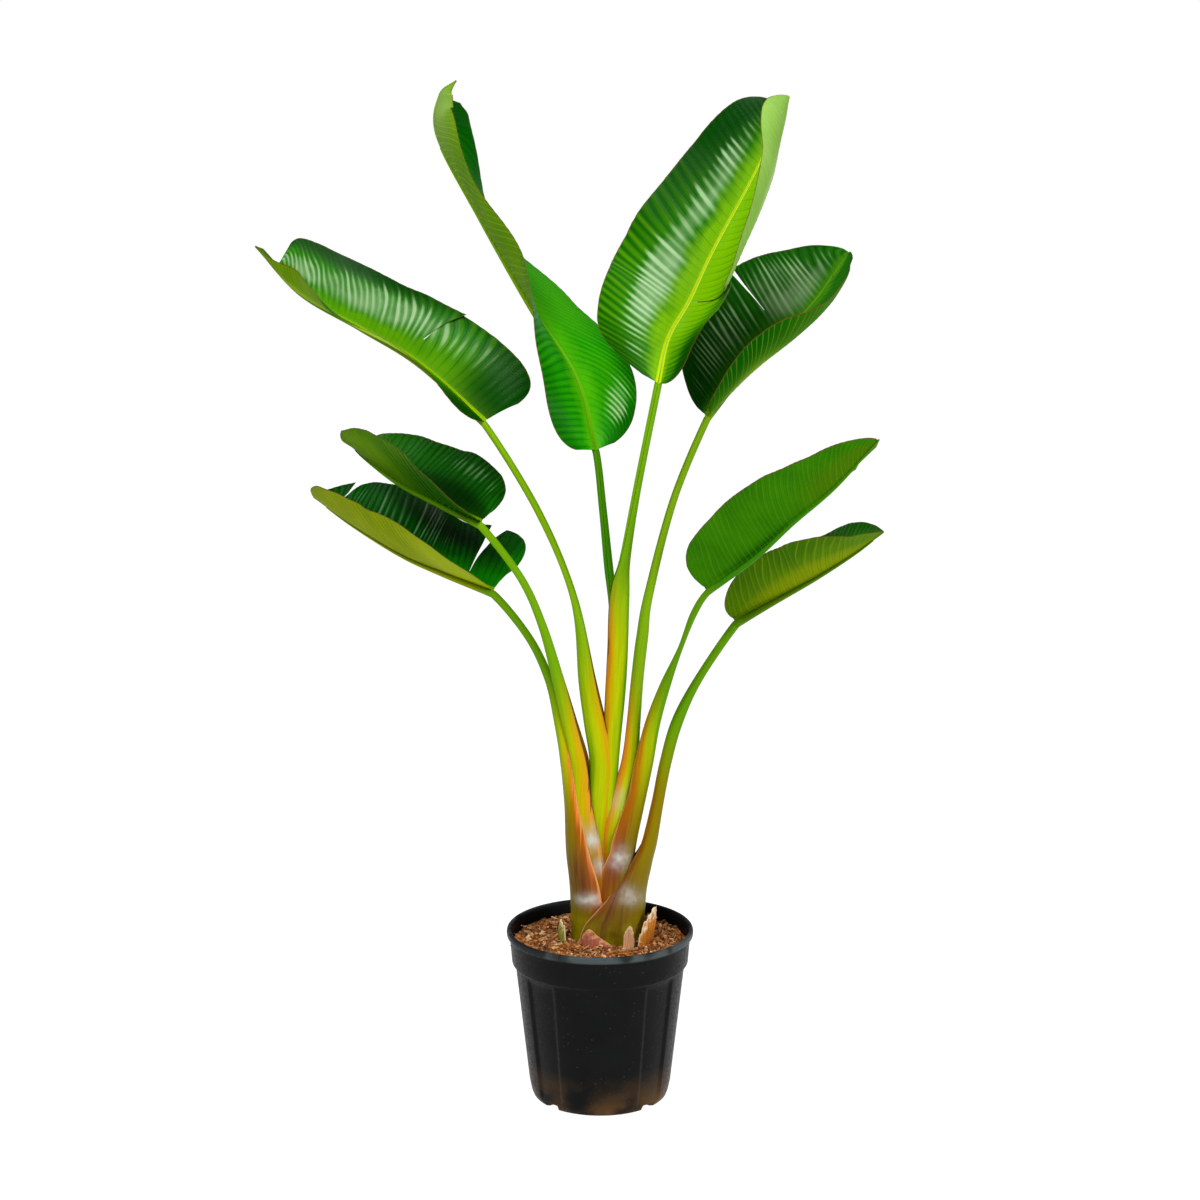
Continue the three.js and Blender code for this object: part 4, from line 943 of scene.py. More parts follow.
def blade_half(name, leaf, side, t, s, rng):
    """Points, normals and readings of one half; rows run along the midrib, columns across."""
    half, length = leaf[side], rib_length(leaf)
    point, along, up, right = rib_frame(leaf, t)
    outward = right if side == "right" else -right
    width = outline(t, half) * (1 + NICK * ripple(rng, t, 9, 4.0))
    across = width[:, None] * s
    lift, curl, sweep = (
        np.radians(smooth(half[turn], t))[:, None] for turn in ("lift", "curl", "sweep")
    )
    curl = np.where(np.abs(curl) < LEAST_CURL, LEAST_CURL, curl)
    angle = lift + curl * s
    sideways = width[:, None] * (np.sin(angle) - np.sin(lift)) / curl
    upward = width[:, None] * (np.cos(lift) - np.cos(angle)) / curl
    normal = up[:, None] * np.cos(angle)[..., None] - outward[:, None] * np.sin(angle)[..., None]
    rib_half = RIB_HALF_WIDTH[0] + (RIB_HALF_WIDTH[1] - RIB_HALF_WIDTH[0]) * t
    from_rib = across / rib_half[:, None]
    pleat = pleat_count(half, side, t, s, length, rng)
    raised = relief_of_half(t, s, width, pleat, from_rib, rng)
    pull, lifted, brown = tear_lips(leaf, side, t, s, length)
    forward, raised = across * np.tan(sweep) + pull, raised + lifted
    grid = (
        point[:, None] + outward[:, None] * sideways[..., None] + up[:, None] * upward[..., None]
        + along[:, None] * forward[..., None] + normal * raised[..., None]
    )
    run = np.broadcast_to((t * length)[:, None], raised.shape)
    readings = soft_patches(BLADE_PATCHES[name][side], t, s) | {
        "pleat": pleat,
        "reach": np.broadcast_to(s[None], raised.shape),
        "rib": from_rib,
        "edge": np.maximum(1 - (1 - s[None]) * width[:, None] / EDGE_REACH, brown),
        "grain": np.stack([across, run, np.zeros_like(raised)], -1) * MM,
    }
    return grid, normal, readings


def make_blade(name, leaf, seed):
    rng = np.random.default_rng(seed)
    t, across = blade_rows(leaf), blade_columns()
    (left, left_normal, left_readings), (right, right_normal, right_readings) = (
        blade_half(name, leaf, side, t, across, rng) for side in ("left", "right")
    )

    def joined(left, right):
        return np.concatenate([left[:, :0:-1], right], axis=1)

    normal = joined(left_normal, right_normal)
    normal[:, len(across) - 1] = left_normal[:, 0] + right_normal[:, 0]
    s = np.concatenate([-across[:0:-1], across])
    thickness = SHEET_MARGIN + (SHEET - SHEET_MARGIN) * (1 - np.abs(s) ** 6)
    upper = joined(left, right)
    lower = upper - unit(normal) * thickness[None, :, None]
    kept = np.ones((len(t) - 1, len(s) - 1), bool)
    nearest = np.minimum(np.abs(s[:-1]), np.abs(s[1:]))
    for side, at, start, _, _ in leaf["tears"]:
        on_side = s[:-1] >= -1e-9 if side == "right" else s[1:] <= 1e-9
        kept[np.searchsorted(t, at) - 1, on_side & (nearest >= start)] = False
    points, faces, sides = closed_sheet(upper * MM, lower * MM, kept)
    readings = {
        label: np.concatenate([in_rows(joined(values, right_readings[label]))] * 2)
        for label, values in left_readings.items()
    }
    return make_piece(
        f"{name}_fine_blade", points, faces, blade_finishes[name], sides, readings
    )


for seed, (name, leaf) in enumerate(LEAVES.items(), 1):
    blade = make_blade(name, leaf, seed)
    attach(blade, BODY)
    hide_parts(f"{name}_blade")
    print(blade.name, "faces:", len(blade.data.polygons))

# %% [markdown]
# ## Stalk finishes
# A stalk is leaf green where it meets the blade and grows yellower downwards. Its sheath is green
# on the back, lime on the flanks and amber beside the two thin margins, which are salmon or brown.
# Low down it turns olive and russet, with a wine-red blush under a whitish bloom, and the foot is
# olive again. One colour ramp from the foot up would put plain rings round the stalk. So a ramp
# runs from back to margin, and the readings say where along the stalk each colour lies.

# %% Stalk tones
STALK_SHARE = 0.78
BACK_GREEN = srgb(96, 160, 0, STALK_SHARE)
FLANK_LIME = srgb(182, 198, 0, STALK_SHARE)
FLANK_AMBER = srgb(208, 166, 0, STALK_SHARE)
LOW_OLIVE = srgb(138, 120, 0, STALK_SHARE)
LOW_RUSSET = srgb(158, 84, 2, STALK_SHARE)
BLUSH_WINE = srgb(100, 32, 38, STALK_SHARE)
SHEATH_BLOOM = srgb(214, 212, 206, STALK_SHARE)
FOOT_OLIVE = srgb(168, 156, 4, STALK_SHARE)
SALMON = (232, 152, 92)
RUST = (124, 56, 30)

# stalk where it meets the blade, place between back and margin where the amber begins, colour
# beside the margin and colour of the margin itself
STALK_TONES = {
    "leaf_1": ((124, 176, 10), 0.84, (216, 150, 10), RUST),
    "leaf_2": ((30, 132, 4), 0.9, (120, 140, 4), RUST),
    "leaf_3": ((112, 176, 14), 0.74, (204, 132, 16), (130, 80, 20)),
    "leaf_4": ((124, 172, 14), 0.62, (236, 130, 34), (180, 90, 40)),
    "leaf_5": ((80, 142, 4), 0.66, (186, 100, 12), SALMON),
    "leaf_6": ((84, 146, 4), 0.84, (150, 116, 10), (216, 150, 104)),
    "leaf_7": ((108, 168, 6), 0.8, (230, 160, 30), (150, 84, 50)),
    "leaf_8": ((92, 150, 6), 0.84, (240, 130, 50), SALMON),
}
print("tones for", len(STALK_TONES), "stalks")

# %% Stalk finishes
def stalk_finish(leaf, green, amber, beside, edge):
    material, tree, shader = finish_tree(f"{leaf}_stalk_finish")
    grain = reading(tree, "grain", "Vector")
    streak = place(tree, streaks, Vector=grain).outputs["Streak"]
    broad = place(tree, streaks, Vector=grain, Across=160.0, Along=7.0).outputs["Streak"]
    patch = place(tree, mottle, Vector=grain, Scale=60.0, Detail=4.0).outputs["Patch"]
    shift = scaled(tree, math_node(tree, "SUBTRACT", broad, 0.5), 0.22)
    flank = math_node(tree, "ADD", reading(tree, "margin"), shift)
    beside, edge = srgb(*beside, STALK_SHARE), srgb(*edge, STALK_SHARE)
    sheath = ramp(tree, flank, [
        (0.12, BACK_GREEN), (0.65 * amber, FLANK_LIME), (amber, FLANK_AMBER),
        (0.5 + 0.5 * amber, beside), (0.99, beside), (1.0, edge),
    ])
    low = ramp(tree, flank, [
        (0.15, LOW_OLIVE), (0.65 * amber, LOW_OLIVE), (amber, LOW_RUSSET),
        (0.6 + 0.4 * amber, beside), (1.0, edge),
    ])
    colour = mix(tree, reading(tree, "low"), sheath, low)
    stalk_green = mix(tree, scaled(tree, streak, 0.4), srgb(*green, STALK_SHARE), BACK_GREEN)
    colour = mix(tree, reading(tree, "petiole"), colour, stalk_green)
    colour = mix(tree, reading(tree, "foot"), colour, mix(tree, patch, FOOT_OLIVE, LOW_OLIVE))
    blush = scaled(tree, reading(tree, "blush"), fade(tree, broad, 0, 1, 0.55, 1))
    colour = mix(tree, blush, colour, BLUSH_WINE)
    bloom = scaled(tree, reading(tree, "bloom"), fade(tree, patch, 0, 1, 0.5, 1))
    colour = mix(tree, bloom, colour, SHEATH_BLOOM)
    colour = mix(tree, scaled(tree, streak, 0.2), colour, LOW_OLIVE)
    rim = math_node(tree, "SUBTRACT", fade(tree, reading(tree, "margin"), 0.95, 0.985),
                    reading(tree, "petiole"))
    colour = mix(tree, rim, colour, edge)
    colour = mix(tree, reading(tree, "keel"), colour, srgb(*UNDER_TONES[leaf][0], UNDER_SHARE))
    colour = browned(tree, colour, "dry", 0.3, 0.5, DRY_BROWN, grain)
    shader.inputs["Specular IOR Level"].default_value = 0.03
    complete(tree, shader, colour, fade(tree, patch, 0, 1, 0.36, 0.5), streak, 0.3, 0.0006)
    return material


stalk_finishes = {leaf: stalk_finish(leaf, *tones) for leaf, tones in STALK_TONES.items()}
print("stalk finishes:", len(stalk_finishes))

# %% [markdown]
# ## Way of a stalk
# A stalk rises from the crown, leans out and runs on under its blade as the midrib's keel. Stalk
# and keel could be two pieces, but then a seam would show under every blade. So one path goes
# through both: first the stalk's own points, then a line just below the midrib.

# %% Way of a stalk
SOIL_LINE = 200.0
STALK_STEPS = 190
KEEL_STEPS = 90
KEEL_TIP = 1.0
KEEL_SEAT = 0.4        # between the midrib line and the keel's top


def stalk_stations(leaf):
    """Centre, direction, side of the groove, half thickness and half width along a stalk."""
    _, _, start_up, _ = rib_frame(leaf, np.zeros(1))
    rows = leaf["stalk"]
    neck = rows[-1][3]

    def seat(t, half_height):
        point, _, up, _ = rib_frame(leaf, np.atleast_1d(t))
        return point - up * (KEEL_SEAT + np.atleast_1d(half_height))[:, None]

    path = np.vstack([[row[:3] for row in rows], seat(0.0, neck), seat(0.1, neck)])
    thick = [row[3] for row in rows] + [neck, neck]
    wide = [row[4] for row in rows] + [neck, neck]
    end = (len(path) - 2) / (len(path) - 1)
    probe = np.linspace(0, end, 2000)
    first = probe[np.argmax(smooth(path, probe)[:, 2] >= SOIL_LINE)]
    t = np.linspace(first, end, STALK_STEPS)
    along = unit(smooth(path, np.minimum(t + 0.002, 1)) - smooth(path, np.maximum(t - 0.002, 0)))
    turn = soft_step(t / end, 0.3, 1)[:, None]
    up = np.array(leaf["back"], float) * (1 - turn) + start_up * turn
    up = unit(up - (up * along).sum(-1, keepdims=True) * along)
    share = np.linspace(0, 1, KEEL_STEPS + 1)[1:]
    keel_half = neck + (KEEL_TIP - neck) * share ** 0.8
    _, keel_along, keel_up, _ = rib_frame(leaf, share * leaf["keel_end"])
    centre = np.vstack([smooth(path, t), seat(share * leaf["keel_end"], keel_half)])
    return (
        centre, np.vstack([along, keel_along]), np.vstack([up, keel_up]),
        np.concatenate([smooth(thick, t), keel_half]), np.concatenate([smooth(wide, t), keel_half]),
    )


print("stations along a stalk:", STALK_STEPS + KEEL_STEPS)

# %% [markdown]
# ## Section of a sheath
# Cut across, a sheath is a letter C that opens towards the middle of the plant, thick at its back
# and thin as paper at its margins. Higher up the C closes round a groove and becomes the stalk.
# Plain tubes would lose the overlapping margins that make the foot of this plant. So the section
# is an open arc, and its opening, its size and its wall change along the way.

# %% Section of a sheath
ARC_POINTS = 33
WALL = 6.0
MARGIN_WALL = 0.9
WALL_SHARE, MARGIN_SHARE = 1.25, 0.3   # the most that walls may be, against the half thickness
LEAST_CORE = 0.12      # the least of a section that its inner arc keeps
STALK_OPENING = 177.0  # half the arc of the section, in degrees, from the back to a margin
WRAP_LEAN = 0.2        # how far a margin that wraps its neighbour stands out

# opening: half the arc by height, and top: the height at which sheath turns to stalk
# marks of blush and whitish bloom: height, spread, place from back to margin, and their strengths
# low: heights between which the low colours fade in, and dry: how brown the margin is
# front: by height, how much wider the half towards the viewer is
# wrap: by height, reach of a margin that sweeps over its neighbour, and hold of its flat front
SHEATHS = {
    "leaf_2": dict(opening=[(200, 175), (500, 150)], top=380, marks=[]),
    "leaf_3": dict(opening=[(200, 170), (620, 150)], top=745, marks=[]),
    "leaf_1": dict(opening=[(200, 172), (440, 160), (600, 150)], top=640, marks=[], dry=1.0),
    "leaf_4": dict(opening=[(200, 170), (440, 158), (560, 148)], top=600,
                   marks=[(446, 16, 0.7, 0.0, 0.5)]),
    "leaf_7": dict(opening=[(200, 172), (370, 160), (560, 150)], top=600,
                   marks=[(392, 16, 0.8, 0.1, 0.9), (352, 10, 0.85, 0.1, 0.9)]),
    "leaf_5": dict(opening=[(200, 170), (300, 150), (370, 113), (440, 150), (560, 160)], top=590,
                   low=(570, 400),
                   marks=[(356, 34, 0.7, 0.9, 0.0), (366, 14, 0.6, 0.2, 0.9)]),
    "leaf_8": dict(opening=[(200, 172), (262, 165), (300, 122), (440, 128), (560, 142)], top=580,
                   low=(540, 400), front=[(340, 1), (440, 1.16), (500, 1.6), (560, 1.5), (600, 1)],
                   marks=[(336, 30, 0.62, 1.0, 0.0), (305, 9, 0.74, 0.3, 1.0)]),
    "leaf_6": dict(opening=[(200, 176), (262, 172), (345, 150), (450, 150)], top=520,
                   low=(640, 440),
                   wrap=[(200, 1.35, 1), (250, 1.35, 1), (265, 1.2, 1), (279, 0.92, 1),
                         (297, 0.58, 0.8), (318, 0.5, 0.4), (346, 0.7, 0.1), (400, 1, 0)],
                   marks=[(292, 40, 0.7, 1.0, 0.0), (312, 12, 0.4, 0.0, 0.6)]),
}


def there_and_back(outer, inner):
    """Values of the outer arc and then, backwards, of the inner arc."""
    return np.concatenate([outer, inner[:, ::-1]], axis=1)


def by_height(height, levels, values):
    return np.interp(height, levels, values)[:, None]


def section(sheath, height, thick, wide, opening):
    """Rise towards the groove, distance sideways and angle from the back of each point."""
    arc = np.linspace(-1, 1, ARC_POINTS)
    angle = np.radians(opening)[:, None] * arc[None]
    wall = np.minimum(WALL, WALL_SHARE * thick)[:, None] * (1 - np.abs(arc[None]) ** 3)
    wall = wall + np.minimum(MARGIN_WALL, MARGIN_SHARE * thick)[:, None]
    thick, wide = thick[:, None], wide[:, None]
    inner_thick = np.maximum(thick - wall, LEAST_CORE * thick)
    inner_wide = np.maximum(wide - wall, LEAST_CORE * wide)
    outer_rise = -np.cos(angle) * thick
    rise = there_and_back(outer_rise, np.maximum(-np.cos(angle) * inner_thick, outer_rise))
    sideways = there_and_back(np.sin(angle) * wide, np.sin(angle) * inner_wide)
    angle = there_and_back(angle, angle)
    if "front" in sheath:
        wider = by_height(height, *zip(*sheath["front"]))
        sideways = sideways * np.where(angle < 0, wider, 1)
    if "wrap" in sheath:
        levels, reach, hold = zip(*sheath["wrap"])
        bend = angle / (math.pi / 2) - 1
        sides = np.repeat([wide[:, 0], inner_wide.mean(axis=1)], ARC_POINTS, axis=0).T
        flat = sides * (1 + WRAP_LEAN * bend) - sideways
        sideways = sideways + np.where(bend > 0, flat * by_height(height, levels, hold), 0)
        rise = rise * np.where(bend > 0, by_height(height, levels, reach), 1)
    return rise, sideways, angle


print("sheaths:", len(SHEATHS))

# %% [markdown]
# ## Stalks
# The section is set at each station of the way and joined to the next. Each point also gets the
# readings that the finish mixes its colours from: how near the margin it is, how far sheath has
# turned to stalk or keel, and whether it lies low, in the blush or in the bloom.

# %% Stalks
TURN_BELOW, TURN_ABOVE = 90, 60   # below and above the top, where sheath turns to stalk
LOW_BAND = (440, 330)             # heights between which the low colours fade in
FOOT_BAND = (288, 268)
KEEL_BLEND = 8                    # stations over which a stalk takes the underside's colour


def sheath_marks(marks, level, margin):
    """Strength of blush and bloom at each point."""
    blush, bloom = np.zeros((2, *level.shape))
    for middle, spread, flank, red, white in marks:
        wide_mark = bell(level, middle, 1.5 * spread) * bell(margin, flank, 0.4)
        blush = np.maximum(blush, red * wide_mark)
        bloom = np.maximum(bloom, white * bell(level, middle, spread) * bell(margin, flank, 0.3))
    return blush, bloom


def make_stalk(name, leaf, sheath, finish):
    centre, along, up, thick, wide = stalk_stations(leaf)
    height, station = centre[:, 2], np.arange(len(centre))
    on_stalk = station < STALK_STEPS
    turned = soft_step(height, sheath["top"] - TURN_BELOW, sheath["top"] + TURN_ABOVE)
    petiole = np.where(on_stalk, turned, 1)
    opening = np.interp(height, *zip(*sheath["opening"]))
    opening = np.where(on_stalk, opening + (STALK_OPENING - opening) * petiole, STALK_OPENING)
    rise, sideways, angle = section(sheath, height, thick, wide, opening)
    across = np.cross(along, up)
    rings = centre[:, None] + up[:, None] * rise[..., None] + across[:, None] * sideways[..., None]
    points, faces = closed_tube(rings * MM)

    def all_round(values):
        return np.tile(values[:, None], (1, rings.shape[1]))

    margin = np.abs(angle) / np.radians(opening)[:, None]
    level = all_round(height)
    blush, bloom = sheath_marks(sheath["marks"], level, margin)
    run = np.concatenate([[0], np.cumsum(np.linalg.norm(np.diff(centre, axis=0), axis=1))])
    grain = np.stack([angle * wide[:, None], all_round(run), np.zeros_like(level)], -1) * MM
    readings = {
        "margin": margin,
        "petiole": all_round(petiole),
        "keel": all_round(soft_step(station, STALK_STEPS, STALK_STEPS + KEEL_BLEND)),
        "low": soft_step(level, *sheath.get("low", LOW_BAND)),
        "foot": soft_step(level, *FOOT_BAND),
        "blush": blush,
        "bloom": bloom,
        "dry": margin ** 12 * sheath.get("dry", 0.0) * (1 - petiole[:, None]),
        "grain": grain,
    }
    rows = {label: in_rows(values) for label, values in readings.items()}
    # the tube's two end points take the readings of its first and last point
    rows = {label: np.concatenate([row, row[[0, -1]]]) for label, row in rows.items()}
    return make_piece(name, points, faces, [finish], readings=rows)


for name, leaf in LEAVES.items():
    stalk = make_stalk(f"{name}_fine_stalk", leaf, SHEATHS[name], stalk_finishes[name])
    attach(stalk, BODY)
    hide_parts(f"{name}_stalk")
    print(stalk.name, "faces:", len(stalk.data.polygons))

# %% [markdown]
# ## Pot
# The pot is thin black plastic: a rolled rim, a plain collar, a small step and a tapered body with
# four pressed flutes and a notched foot. The flutes could be cut with a modifier, which would
# leave hard edges. Here a turned profile gives the wall, and the flutes and notches are a shift of
# the same points, so it stays one closed shell. Soil has stained its foot, and a bluish sheen is
# painted along its rim.

# %% Pot finish
POT_BLACK = srgb(7, 8, 8)
POT_GREY = srgb(17, 19, 18)
POT_DUST = srgb(84, 82, 72)
RIM_SHEEN = srgb(66, 73, 75)
SOIL_STAIN = srgb(84, 58, 30)

pot_finish, tree, shader = finish_tree("pot_finish")
where = add(tree, "ShaderNodeTexCoord").outputs["Object"]
cloud = place(tree, mottle, Vector=where, Scale=18.0, Detail=5.0).outputs["Patch"]
fine = place(tree, mottle, Vector=where, Scale=260.0, Detail=3.0).outputs["Patch"]
colour = mix(tree, scaled(tree, cloud, 0.3), POT_BLACK, POT_GREY)
specks = place(tree, dust, Vector=where, Scale=150.0, Size=0.2, Amount=0.3).outputs["Specks"]
colour = mix(tree, scaled(tree, specks, 0.5), colour, POT_DUST)
colour = mix(tree, scaled(tree, reading(tree, "foot"), cloud), colour, SOIL_STAIN)
# painted sheen along the top of the rim, broken up by the cloud
painted_rim_sheen = scaled(tree, reading(tree, "lip"), fade(tree, cloud, 0.2, 0.8, 0.2, 1))
colour = mix(tree, painted_rim_sheen, colour, RIM_SHEEN)
shader.inputs["Specular IOR Level"].default_value = 0.07
complete(tree, shader, colour, fade(tree, fine, 0, 1, 0.34, 0.5), fine, 0.15, 0.0004)
print("pot finish ready")

# %% Pot
POT_SEGMENTS = 288
FLUTES = 4
FLUTE_DEPTH = 3.0
FLUTE_HALF_ANGLE = math.radians(13)
FLUTE_SIDE = math.radians(2.2)       # how much of that angle its sloping side takes
NOTCH_HALF_ANGLE = math.radians(7.5)
NOTCH_SIDE = math.radians(1)
NOTCH_TOP = 9.0
NOTCH_RADII = (84, 91)               # where a notch begins under the pot and is full
FOOT_RADIUS = 85                     # the outside of the foot is wider, and the inside isn't
GRIME_HEIGHTS = (0.05, 0.0)          # in metres, where the stain begins and is full
LIP_HEIGHTS = (0.241, 0.244)         # in metres, where the painted sheen on the rim begins and is full
LIP_RADII = (0.128, 0.131)
# radius, height and share of the flute's depth, up the outside, over the rim and down inside
POT_PROFILE = [
    (0, 0, 0), (80, 0, 0), (90.5, 0, 0), (92, 0.4, 0), (96.4, 1.7, 0), (97.4, 2.6, 0), (98.4, 5, 0),
    (99.6, 8, 0.1), (100.6, 12, 0.5), (101.8, 18, 0.9), (103, 24, 1), (107.5, 64, 1),
    (112, 104, 1), (116.6, 146, 1), (120.5, 180, 1), (121.6, 190, 0.9), (122.2, 195, 0.4),
    (122.7, 198, 0), (123.2, 199.6, 0), (125.8, 201.4, 0), (127.2, 202.4, 0), (127.6, 204, 0),
    (128.6, 216, 0), (129.6, 228, 0), (130.3, 238, 0), (130.6, 240.2, 0), (131.4, 241, 0),
    (133.2, 241.3, 0), (134.4, 242.4, 0), (134.9, 244.4, 0), (135, 246.6, 0), (134.8, 248.8, 0),
    (134.2, 250.6, 0), (133.2, 251.6, 0), (132, 252, 0), (130.6, 251.8, 0), (129.4, 250.8, 0),
    (128.8, 249, 0), (128.2, 245, 0), (127.2, 238, 0), (125.9, 222, 0), (124.5, 205, 0),
    (119, 194, 1), (109.5, 110, 1), (100, 28, 1), (97, 12, 0), (0, 12, 0),
]

angles = np.linspace(0, 2 * math.pi, POT_SEGMENTS, endpoint=False)
pitch = 2 * math.pi / FLUTES
offset = np.abs(angles % pitch - pitch / 2)
pressed = 1 - soft_step(offset, FLUTE_HALF_ANGLE - FLUTE_SIDE, FLUTE_HALF_ANGLE)
notched = 1 - soft_step(offset, NOTCH_HALF_ANGLE - NOTCH_SIDE, NOTCH_HALF_ANGLE)
rings = []
for radius, height, share in POT_PROFILE[1:-1]:
    r = radius - FLUTE_DEPTH * share * pressed
    z = np.full(POT_SEGMENTS, float(height))
    if height < NOTCH_TOP and radius > FOOT_RADIUS:
        z = np.maximum(z, NOTCH_TOP * notched * soft_step(radius, *NOTCH_RADII))
    rings.append(np.stack([r * np.cos(angles), r * np.sin(angles), z], -1))
points, faces = closed_tube(np.array(rings) * MM)
level, radius = points[:, 2], np.hypot(points[:, 0], points[:, 1])
pot = make_piece("nursery_pot", points, faces, [pot_finish], readings={
    "foot": soft_step(level, *GRIME_HEIGHTS),
    "lip": soft_step(level, *LIP_HEIGHTS) * soft_step(radius, *LIP_RADII),
})
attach(pot, BODY)
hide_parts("pot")
print("pot faces:", len(pot.data.polygons))

# %% [markdown]
# ## Soil
# Potting mix is a heap of coir, bark and chips. A disc with a bump map looks like cloth, so the
# top is a closely divided surface pushed up and down by random lumps. It rises a little towards
# the plant and has a hole in the middle, in which the crown and the feet of the sheaths stand.

# %% Soil finish
SOIL_DARK = srgb(44, 20, 4)
SOIL_BROWN = srgb(138, 74, 16)
SOIL_ORANGE = srgb(206, 128, 52)
CHIP_TAN = srgb(244, 204, 150)

soil_finish, tree, shader = finish_tree("soil_finish")
where = add(tree, "ShaderNodeTexCoord").outputs["Object"]
crumb = place(tree, mottle, Vector=where, Scale=170.0, Detail=6.0).outputs["Patch"]
cloud = place(tree, mottle, Vector=where, Scale=30.0, Detail=3.0).outputs["Patch"]
colour = mix(tree, crumb, SOIL_DARK, SOIL_BROWN)
colour = mix(tree, scaled(tree, scaled(tree, crumb, cloud), 0.7), colour, SOIL_ORANGE)
grit = place(tree, dust, Vector=where, Scale=300.0, Size=0.3, Amount=0.25).outputs["Specks"]
colour = mix(tree, scaled(tree, grit, 0.6), colour, CHIP_TAN)
complete(tree, shader, colour, 0.92, crumb, 0.8, 0.002)

chip_finish, tree, shader = finish_tree("chip_finish")
where = add(tree, "ShaderNodeTexCoord").outputs["Object"]
crumb = place(tree, mottle, Vector=where, Scale=320.0, Detail=4.0).outputs["Patch"]
colour = ramp(tree, reading(tree, "shade"), [
    (0.0, SOIL_DARK), (0.35, SOIL_BROWN), (0.7, SOIL_ORANGE), (1.0, CHIP_TAN),
])
colour = mix(tree, scaled(tree, crumb, 0.35), colour, SOIL_DARK)
complete(tree, shader, colour, 0.85, crumb, 0.6, 0.001)
print("soil finishes ready")

# %% Soil
SOIL_SEGMENTS = 220
SOIL_LEVEL = 232.0
SOIL_HEAP = 9.0
SOIL_EDGE = 125.6
HOLE_CENTRE = (10.0, 0.0)
HOLE_RADII = (58.0, 48.0)
CLUSTER_RADII = (46.0, 41.0)   # soil lies close against the sheaths
HOLE_BOTTOM = 140.0
TOP_RINGS = 46
LUMP_WAVES = 140
LUMP_SHARE = 1 / 130           # height of all waves together against their lengths
# radius and height of the rings inside the pot, from its bottom up
SOIL_SIDE = [(94, 12.6), (95.5, 13.5), (96.2, 28), (105.5, 110), (115, 193), (119, 200)]

soil_rng = np.random.default_rng(31)
wave_way = soil_rng.uniform(0, 2 * math.pi, LUMP_WAVES)
wave_size = soil_rng.uniform(5, 30, LUMP_WAVES)
wave_phase = soil_rng.uniform(0, 2 * math.pi, LUMP_WAVES)


def soil_height(x, y):
    """Height of the soil at a place, from many small waves, higher towards the plant."""
    x, y = np.asarray(x, float), np.asarray(y, float)
    away = np.hypot(x, y) / SOIL_EDGE
    phase = 2 * math.pi * (
        np.cos(wave_way) * x[..., None] + np.sin(wave_way) * y[..., None]
    ) / wave_size + wave_phase
    lumps = (np.sin(phase) * wave_size).sum(-1) * LUMP_SHARE
    return SOIL_LEVEL + SOIL_HEAP * (1 - away) + lumps


def soil_ring(radii, centre, height=None):
    """Ring on an oval, at one height or on the lumpy top."""
    angles = np.linspace(0, 2 * math.pi, SOIL_SEGMENTS, endpoint=False)
    x = centre[0] + radii[0] * np.cos(angles)
    y = centre[1] + radii[1] * np.sin(angles)
    z = soil_height(x, y) if height is None else np.full(SOIL_SEGMENTS, float(height))
    return np.stack([x, y, z], -1)


rings = [soil_ring((radius, radius), (0, 0), height) for radius, height in SOIL_SIDE]
for share in np.linspace(0, 1, TOP_RINGS):
    radii = [SOIL_EDGE + (inner - SOIL_EDGE) * share for inner in CLUSTER_RADII]
    rings.append(soil_ring(radii, (HOLE_CENTRE[0] * share, 0)))
# down between the sheaths, out under them and down to the bottom of the hole
for outer, smaller, height in [
    (CLUSTER_RADII, 1, 222), (CLUSTER_RADII, 1, 216), (HOLE_RADII, 0, 215),
    (HOLE_RADII, 0, HOLE_BOTTOM + 1), (HOLE_RADII, 2, HOLE_BOTTOM),
]:
    rings.append(soil_ring([radius - smaller for radius in outer], HOLE_CENTRE, height))
points, faces = closed_tube(np.array(rings) * MM)
soil = make_piece("potting_mix", points, faces, [soil_finish])
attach(soil, BODY)
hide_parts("soil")
print("soil faces:", len(soil.data.polygons))

# %% [markdown]
# ## Loose bits on the soil
# More than a thousand bits lie on the mix. A bark crumb is a box pulled out of shape, a chip is a
# flatter and paler one, and a fibre is a thin strip bent along its length. As separate objects
# they would be slow to handle. They share one mesh because they are one heap, and each carries its
# own shade from dark to tan.

# %% Shapes of the loose bits
CUBE = np.array([[x, y, z] for x in (-1, 1) for y in (-1, 1) for z in (-1, 1)], float) / 2
CUBE_FACES = [(0, 1, 3, 2), (4, 6, 7, 5), (0, 4, 5, 1), (2, 3, 7, 6), (0, 2, 6, 4), (1, 5, 7, 3)]
OPEN_SHARES = (0.1, 0.93)      # of the area inside the pot, from the middle to the wall
CLEARING_RADII = (52, 47)      # oval round the sheaths that stays clear


def turned(points, rng, tilt):
    """Points turned any way round and tilted a little."""
    turns = [rng.uniform(0, 2 * math.pi), *rng.uniform(-tilt, tilt, 2)]
    c, s = np.cos(turns), np.sin(turns)
    spin = np.array([[c[0], -s[0], 0], [s[0], c[0], 0], [0, 0, 1]])
    nod = np.array([[c[1], 0, s[1]], [0, 1, 0], [-s[1], 0, c[1]]])
    lean = np.array([[1, 0, 0], [0, c[2], -s[2]], [0, s[2], c[2]]])
    return points @ (spin @ nod @ lean).T


def open_place(rng):
    """Place on the open soil, between the plant and the pot."""
    while True:
        radius = SOIL_EDGE * math.sqrt(rng.uniform(*OPEN_SHARES))
        angle = rng.uniform(0, 2 * math.pi)
        spot = radius * np.array([math.cos(angle), math.sin(angle)])
        if np.hypot(*((spot - HOLE_CENTRE) / CLEARING_RADII)) > 1:
            return spot


def block(rng, size, least, most):
    """Box with each corner pulled in or out."""
    return CUBE * size * rng.uniform(least, most, (8, 1)), CUBE_FACES


